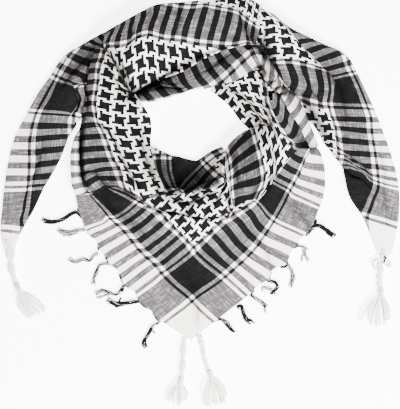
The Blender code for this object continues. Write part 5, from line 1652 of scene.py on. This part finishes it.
@dataclass
class CornerTassel:
    """A corner tassel: loosely twisted cords, a wound head and a skirt of uneven locks."""

    node: str
    cord: tuple[Row, ...]    # plan x, plan y of the cords and their spread in plan steps
    head: tuple[Row, ...]    # plan x, plan y of the head's start and end
    skirt: tuple[Row, ...]   # plan points of the skirt's end, from one side to the other
    seed: int
    turns: float = 3.0
    knot: tuple[Row, ...] = ()   # loops: plan x, plan y, half length, turn in degrees
    dark: tuple[Row, ...] = ()   # short dark ends: plan x, y of the start, then of the end
    ply_radius: float = 0.00088
    plies: int = 7           # yarns in each of the two cords
    ply_turns: float = 2.2   # turns of a yarn in its cord, for each turn of the cords
    cord_height: float = 0.0032      # of the cords' middle, metres
    cord_rise: tuple[float, float] = (-0.0022, 0.0028)   # most below and above it
    head_height: float = 0.0036
    head_turns: float = 4.5
    head_radius: float = 0.0026
    head_swell: float = 0.0006       # how much thicker the head is at its middle
    wound_radius: float = 0.0008     # of the yarn wound round it, and of dark ends
    knot_height: float = 0.0042
    locks: int = 9
    ends: int = 11           # ends in each lock
    end_radius: float = 0.00052
    end_points: int = 10
    levels: int = 3          # heights at which locks lie over each other
    tip_height: float = 0.0008
    root_height: float = 0.0018
    tip_step: float = 0.0022         # rise of a tip from the lowest level to the highest
    root_step: float = 0.0030
    skirt_width: float = 0.0062      # of the skirt at the head, metres
    skirt_swell: float = 0.005       # how much wider it is half way
    lock_bow: float = 0.0022         # most that a lock swings out, metres
    end_bow: float = 0.0008          # and an end in it
    end_lift: float = 0.0011         # most that an end rises half way
    level_lift: float = 0.0008       # and how much more the highest locks do
    loop_rise: float = 0.0014        # of a loop's yarn over and under the knot's height
    loop_step: float = 0.0006        # from one yarn of a loop down to the next
    dark_heights: tuple[float, float] = (0.0062, 0.0058)     # of a dark end's start and end

    def cords(self) -> list[Array]:
        """Twists two cords of loose yarn round each other.

        Returns:
            The points of each yarn.
        """
        path = smooth_path(self.cord, 40)
        share = np.linspace(0, 1, len(path))
        spread = path[:, 2]
        lines = []
        for cord in (0, 1):
            turn = 2 * math.pi * (cord / 2 + self.turns * share) + 0.5
            for ply in range(self.plies):
                own = 2 * math.pi * (ply / self.plies + self.ply_turns * self.turns * share)
                out = spread * (0.6 * np.cos(turn) + 0.5 * np.cos(own))
                rise = spread * (0.2 * np.sin(turn) + 0.25 * np.sin(own)) * STEP
                x, y = (path[:, :2] + plan_sides(path) * out[:, None]).T
                z = self.cord_height + np.clip(rise, *self.cord_rise)
                lines.append(plan_stack(x, y, z, 1.0))
        return lines

    def wound(self, start: Array, end: Array, across: Array) -> Array:
        """The yarn wound round the head.

        Args:
            start: Where the winding starts.
            end: Where it ends.
            across: Direction across the head.

        Returns:
            The points of its line.
        """
        t = np.linspace(0, 1, 80)[:, None]
        turn = 2 * math.pi * self.head_turns * t
        radius = self.head_radius + self.head_swell * np.sin(np.pi * np.minimum(1, t * 1.15))
        points = (start + (end - start) * t + across * radius * 1.25 * np.cos(turn)
                  + UP * radius * 0.8 * np.sin(turn))
        return np.hstack([points, np.ones_like(t)])

    def loops(self) -> list[Array]:
        """Lays the loops of the knot under the cloth's corner, three yarns each.

        Returns:
            The points of each yarn.
        """
        turn = np.linspace(0, 2 * math.pi, 22)
        lines = []
        for x, y, long, degrees in self.knot:
            lean = math.radians(degrees)
            for ply in range(3):
                far = (long - 0.7 * ply) * np.cos(turn)
                wide = (0.55 * long - 0.6 * ply) * np.sin(turn)
                z = self.knot_height + self.loop_rise * np.sin(2 * turn + ply) - self.loop_step * ply
                lines.append(plan_stack(x + far * math.cos(lean) - wide * math.sin(lean),
                                        y + far * math.sin(lean) + wide * math.cos(lean),
                                        z, 1.2))
        return lines

    def skirt_ends(self, start: Array, end: Array, across: Array,
                   draw: np.random.Generator) -> list[Array]:
        """The loose ends of the skirt, in uneven locks that lie over each other.

        Args:
            start: Where the head starts.
            end: Where it ends.
            across: Direction across the head.
            draw: Source of seeded numbers.

        Returns:
            The points of each end.
        """
        tips = np.array(self.skirt, float)
        places = np.linspace(0, 1, len(tips))
        s = np.linspace(0, 1, self.end_points)[:, None]
        swell = np.sin(np.pi * s)
        lines = []
        for lock in range(self.locks):
            middle = (lock + draw.uniform(0.25, 0.75)) / self.locks
            spread = draw.uniform(0.35, 0.75) / self.locks
            reach, level = draw.uniform(0.82, 1.04), lock % self.levels / (self.levels - 1)
            bow = draw.uniform(-1, 1) * self.lock_bow
            for _ in range(self.ends):
                inside = draw.uniform(-1, 1)
                t = float(np.clip(middle + spread * inside, 0, 1))
                tip_x, tip_y = resample(tips, places, [t])[0]
                tip = metres(tip_x, tip_y, self.tip_height + self.tip_step * level)
                root = start + (end - start) * 0.8 - across * (0.5 - t) * self.skirt_width
                root[2] = self.root_height + self.root_step * level
                long = reach * draw.uniform(0.9, 1.03)
                lift = draw.uniform(0, self.end_lift)
                out = bow + self.end_bow * inside + self.skirt_swell * (t - 0.5)
                points = (root + (tip - root) * s * long + across * out * swell
                          + UP * (self.level_lift * level + lift) * swell)
                lines.append(np.hstack([points, 1.1 - 0.4 * s]))
        return lines

    def build(self, yarn: Material, dark: Material) -> None:
        """Builds the tassel, dresses it and ties it to its solid.

        Args:
            yarn: Its finish.
            dark: Finish of the few dark ends caught in the knot.
        """
        draw = np.random.default_rng(self.seed)
        start, end = (metres(*p, self.head_height) for p in self.head)
        way = (end - start) / np.linalg.norm(end - start)
        across = np.array([way[1], -way[0], 0.0])
        skirt = self.skirt_ends(start, end, across, draw)
        parts = [strands(self.node + "_yarn", self.cords() + self.loops(), self.ply_radius,
                         yarn),
                 strands(self.node + "_head", [self.wound(start, end, across)],
                         self.wound_radius, yarn),
                 strands(self.node + "_skirt", skirt, self.end_radius, yarn, 0)]
        if self.dark:
            z0, z1 = self.dark_heights
            caught = [np.array([(*metres(x0, y0, z0), 1), (*metres(x1, y1, z1), 0.7)])
                      for x0, y0, x1, y1 in self.dark]
            parts.append(strands(self.node + "_dark", caught, self.wound_radius, dark))
        tie(joined(parts), self.node)


TASSELS = (
    CornerTassel("front_left_tassel",
                 ((185, 337, 2.6), (183.5, 348, 2.5), (183, 361, 2.5), (181, 381, 2.6)),
                 ((181, 378), (179.5, 385)),
                 ((186, 401), (182, 405), (175, 406), (170, 404), (164, 400)), 11, 1.4),
    CornerTassel("front_right_tassel",
                 ((199, 335, 3.0), (202, 344, 2.6), (204.5, 358, 2.0), (209.5, 374, 2.0)),
                 ((209.5, 371), (212, 379)),
                 ((229, 400), (222, 405), (212, 407), (202, 403)), 12, 2.2,
                 knot=((201, 340, 3.4, 70),)),
    CornerTassel("left_tail_tassel",
                 ((9, 240, 4.6), (10, 252, 4.4), (10.5, 264, 3.4), (13.5, 277, 2.9),
                  (18, 289, 2.4)),
                 ((16.5, 284), (20, 293)),
                 ((46, 309), (41, 315), (33, 319.5), (24, 318)), 13, 1.6),
    CornerTassel("right_tail_tassel",
                 ((385, 250, 3.2), (382, 264, 2.8), (380, 278, 3.2), (381, 292, 2.6)),
                 ((381, 288), (381, 297)),
                 ((392, 317), (386, 325), (373, 328), (358, 321)), 14, 3.0,
                 knot=((376, 264, 5.4, 100), (388, 263, 4.6, 60), (382, 261, 4.2, 10)),
                 dark=((384.5, 256, 386, 259), (386.5, 257, 384, 261), (385, 260, 384, 263.5))),
)

STRETCHES = (
    Stretch("left_tail", LEFT_TAIL, Across.WEFT, "left_tail_folds",
            (Roll(Side.LAST, -1, 0.5), Roll(Side.FIRST, -1, 0.93))),
    Stretch("right_tail", RIGHT_TAIL, Across.WARP, "right_tail_folds",
            (Roll(Side.LAST, -1, 0.36), Roll(Side.FIRST)), crease=2),
    Stretch("top_band", TOP_BAND, Across.WARP, "ring_folds", (Roll(Side.FIRST, 0.15, 0.68),
                                                            Roll(Side.LAST, 2, 3)),
            (Lead((21.5, 19.2), ((42.0, 0.0), (44.0, -0.35), (51.0, -0.5))),)),
    Stretch("left_rise", LEFT_RISE, Across.WARP, "ring_folds",
            (Roll(Side.LAST, 0.36, 0.63), Roll(Side.FIRST, 0.1, 0.6))),
    Stretch("cowl", COWL, Across.WEFT, "ring_folds", (Roll(Side.LAST, 0.49, 0.62),)),
    Stretch("inner_cowl", INNER_COWL, Across.WEFT, "ring_folds", (Roll(Side.FIRST),)),
    Stretch("right_rise", RIGHT_RISE, Across.WEFT, "ring_folds", (Roll(Side.LAST),)),
    Stretch("back_band", BACK_BAND, Across.WEFT, "ring_folds", (Roll(Side.LAST, -1, 0.45),)),
    Stretch("turned_margin", TURNED_MARGIN, Across.WEFT, "ring_folds",
            (Roll(Side.FIRST, 2, 3),)),
)


@dataclass
class Studio:
    """The pale floor, soft light and the camera straight above."""

    floor_colour: str = "#ffffff"
    floor_side: float = 30.0
    floor_gap: float = 0.0002        # how far the floor lies under the scarf
    floor_glow: float = 5.0
    sky: float = 0.45
    # Area lights: place, side in metres, watts.
    lights: dict[str, Row] = field(default_factory=lambda: {
        "overhead": ((1.3, -1.9, 1.7), 1.0, 650), "fill": ((-0.6, 1.8, 2.4), 1.8, 90)})
    view: tuple[float, float] = (200.0, 204.5)       # plan point under the camera
    view_steps: float = 400          # plan steps across its frame
    camera_height: float = 4.0
    middle_height: float = 0.010     # height in the scarf at which the frame is measured
    sensor: float = 36.0

    def build(self) -> None:
        """Builds the studio."""
        bpy.ops.object.select_all(action="DESELECT")
        bpy.ops.mesh.primitive_plane_add(size=self.floor_side, location=(0, 0, -self.floor_gap))
        floor = bpy.context.object
        floor.name = "floor"
        paper, _, shader = new_material("white_paper")
        colour = linear(self.floor_colour)
        set_inputs(shader, {"Base Color": colour, "Roughness": 0.9, "Specular IOR Level": 0.1,
                            "Emission Color": colour, "Emission Strength": self.floor_glow})
        floor.data.materials.append(paper)

        world = bpy.data.worlds.new("soft_room")
        world.use_nodes = True
        set_inputs(world.node_tree.nodes["Background"],
                   {"Color": (1, 1, 1, 1), "Strength": self.sky})
        bpy.context.scene.world = world
        for name, (place, side, watts) in self.lights.items():
            self.light(name, place, side, watts)
        self.camera()

    @staticmethod
    def light(name: str, place: tuple[float, float, float], side: float, watts: float) -> None:
        """Adds a square soft light that faces the middle of the scarf.

        Args:
            name: The light's name.
            place: Where it stands.
            side: Its side in metres.
            watts: Its power.
        """
        bpy.ops.object.light_add(type="AREA", location=place)
        lamp = bpy.context.object
        lamp.name = name
        lamp.data.size = side
        lamp.data.energy = watts
        aim = -lamp.location.normalized()
        lamp.rotation_euler = aim.to_track_quat("-Z", "Y").to_euler()

    def camera(self) -> None:
        """Adds the camera straight above, framed on the whole scarf."""
        distance = self.camera_height - self.middle_height
        place = metres(*self.view, self.camera_height)
        bpy.ops.object.camera_add(location=tuple(place), rotation=(0, 0, 0))
        camera = bpy.context.object
        camera.data.sensor_fit = "HORIZONTAL"
        camera.data.sensor_width = self.sensor
        camera.data.lens = self.sensor * distance / (self.view_steps * STEP)
        camera.data.clip_end = 100
        bpy.context.scene.camera = camera


def press_hidden_folds(nodes: dict[str, Piece]) -> None:
    """Lays the folds that lie hidden lower than their solids, so that deep hollows clear them.

    Args:
        nodes: The solids of the frame, by name.
    """
    material = WovenCotton().material(from_object=True)
    for name in HIDDEN_FOLDS:
        mesh = nodes[name].data.copy()
        mesh.transform(nodes[name].matrix_world)
        for point in mesh.vertices:
            point.co.z *= HIDDEN_SHARE
        mesh.materials.clear()
        mesh.materials.append(material)
        piece = bpy.data.objects.new(name + "_cloth", mesh)
        bpy.context.collection.objects.link(piece)
        tie(piece, name)


def main() -> None:
    """Builds the whole scarf and its studio."""
    logging.basicConfig(level=logging.INFO, format="%(message)s")
    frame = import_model()
    Studio().build()
    cloth = WovenCotton().material()
    dark = Yarn("dark_fringe_yarn", "#121113", "#060606").material()
    light = Yarn("light_fringe_yarn", "#b5b1ac", "#4a4745").material()
    white = Yarn("white_tassel_yarn", "#f6f4f0", "#c9c6bf", fibre_mm=3.4).material()
    Front().build(cloth)
    for stretch in STRETCHES:
        stretch.build(cloth)
    FringedEdge("left_fringe", LEFT_LOCKS, 5).build(dark, light)
    FringedEdge("right_fringe", RIGHT_LOCKS, 6).build(dark, light)
    for tassel in TASSELS:
        tassel.build(white, dark)
    press_hidden_folds(frame["nodes"])


if __name__ == "__main__":
    main()
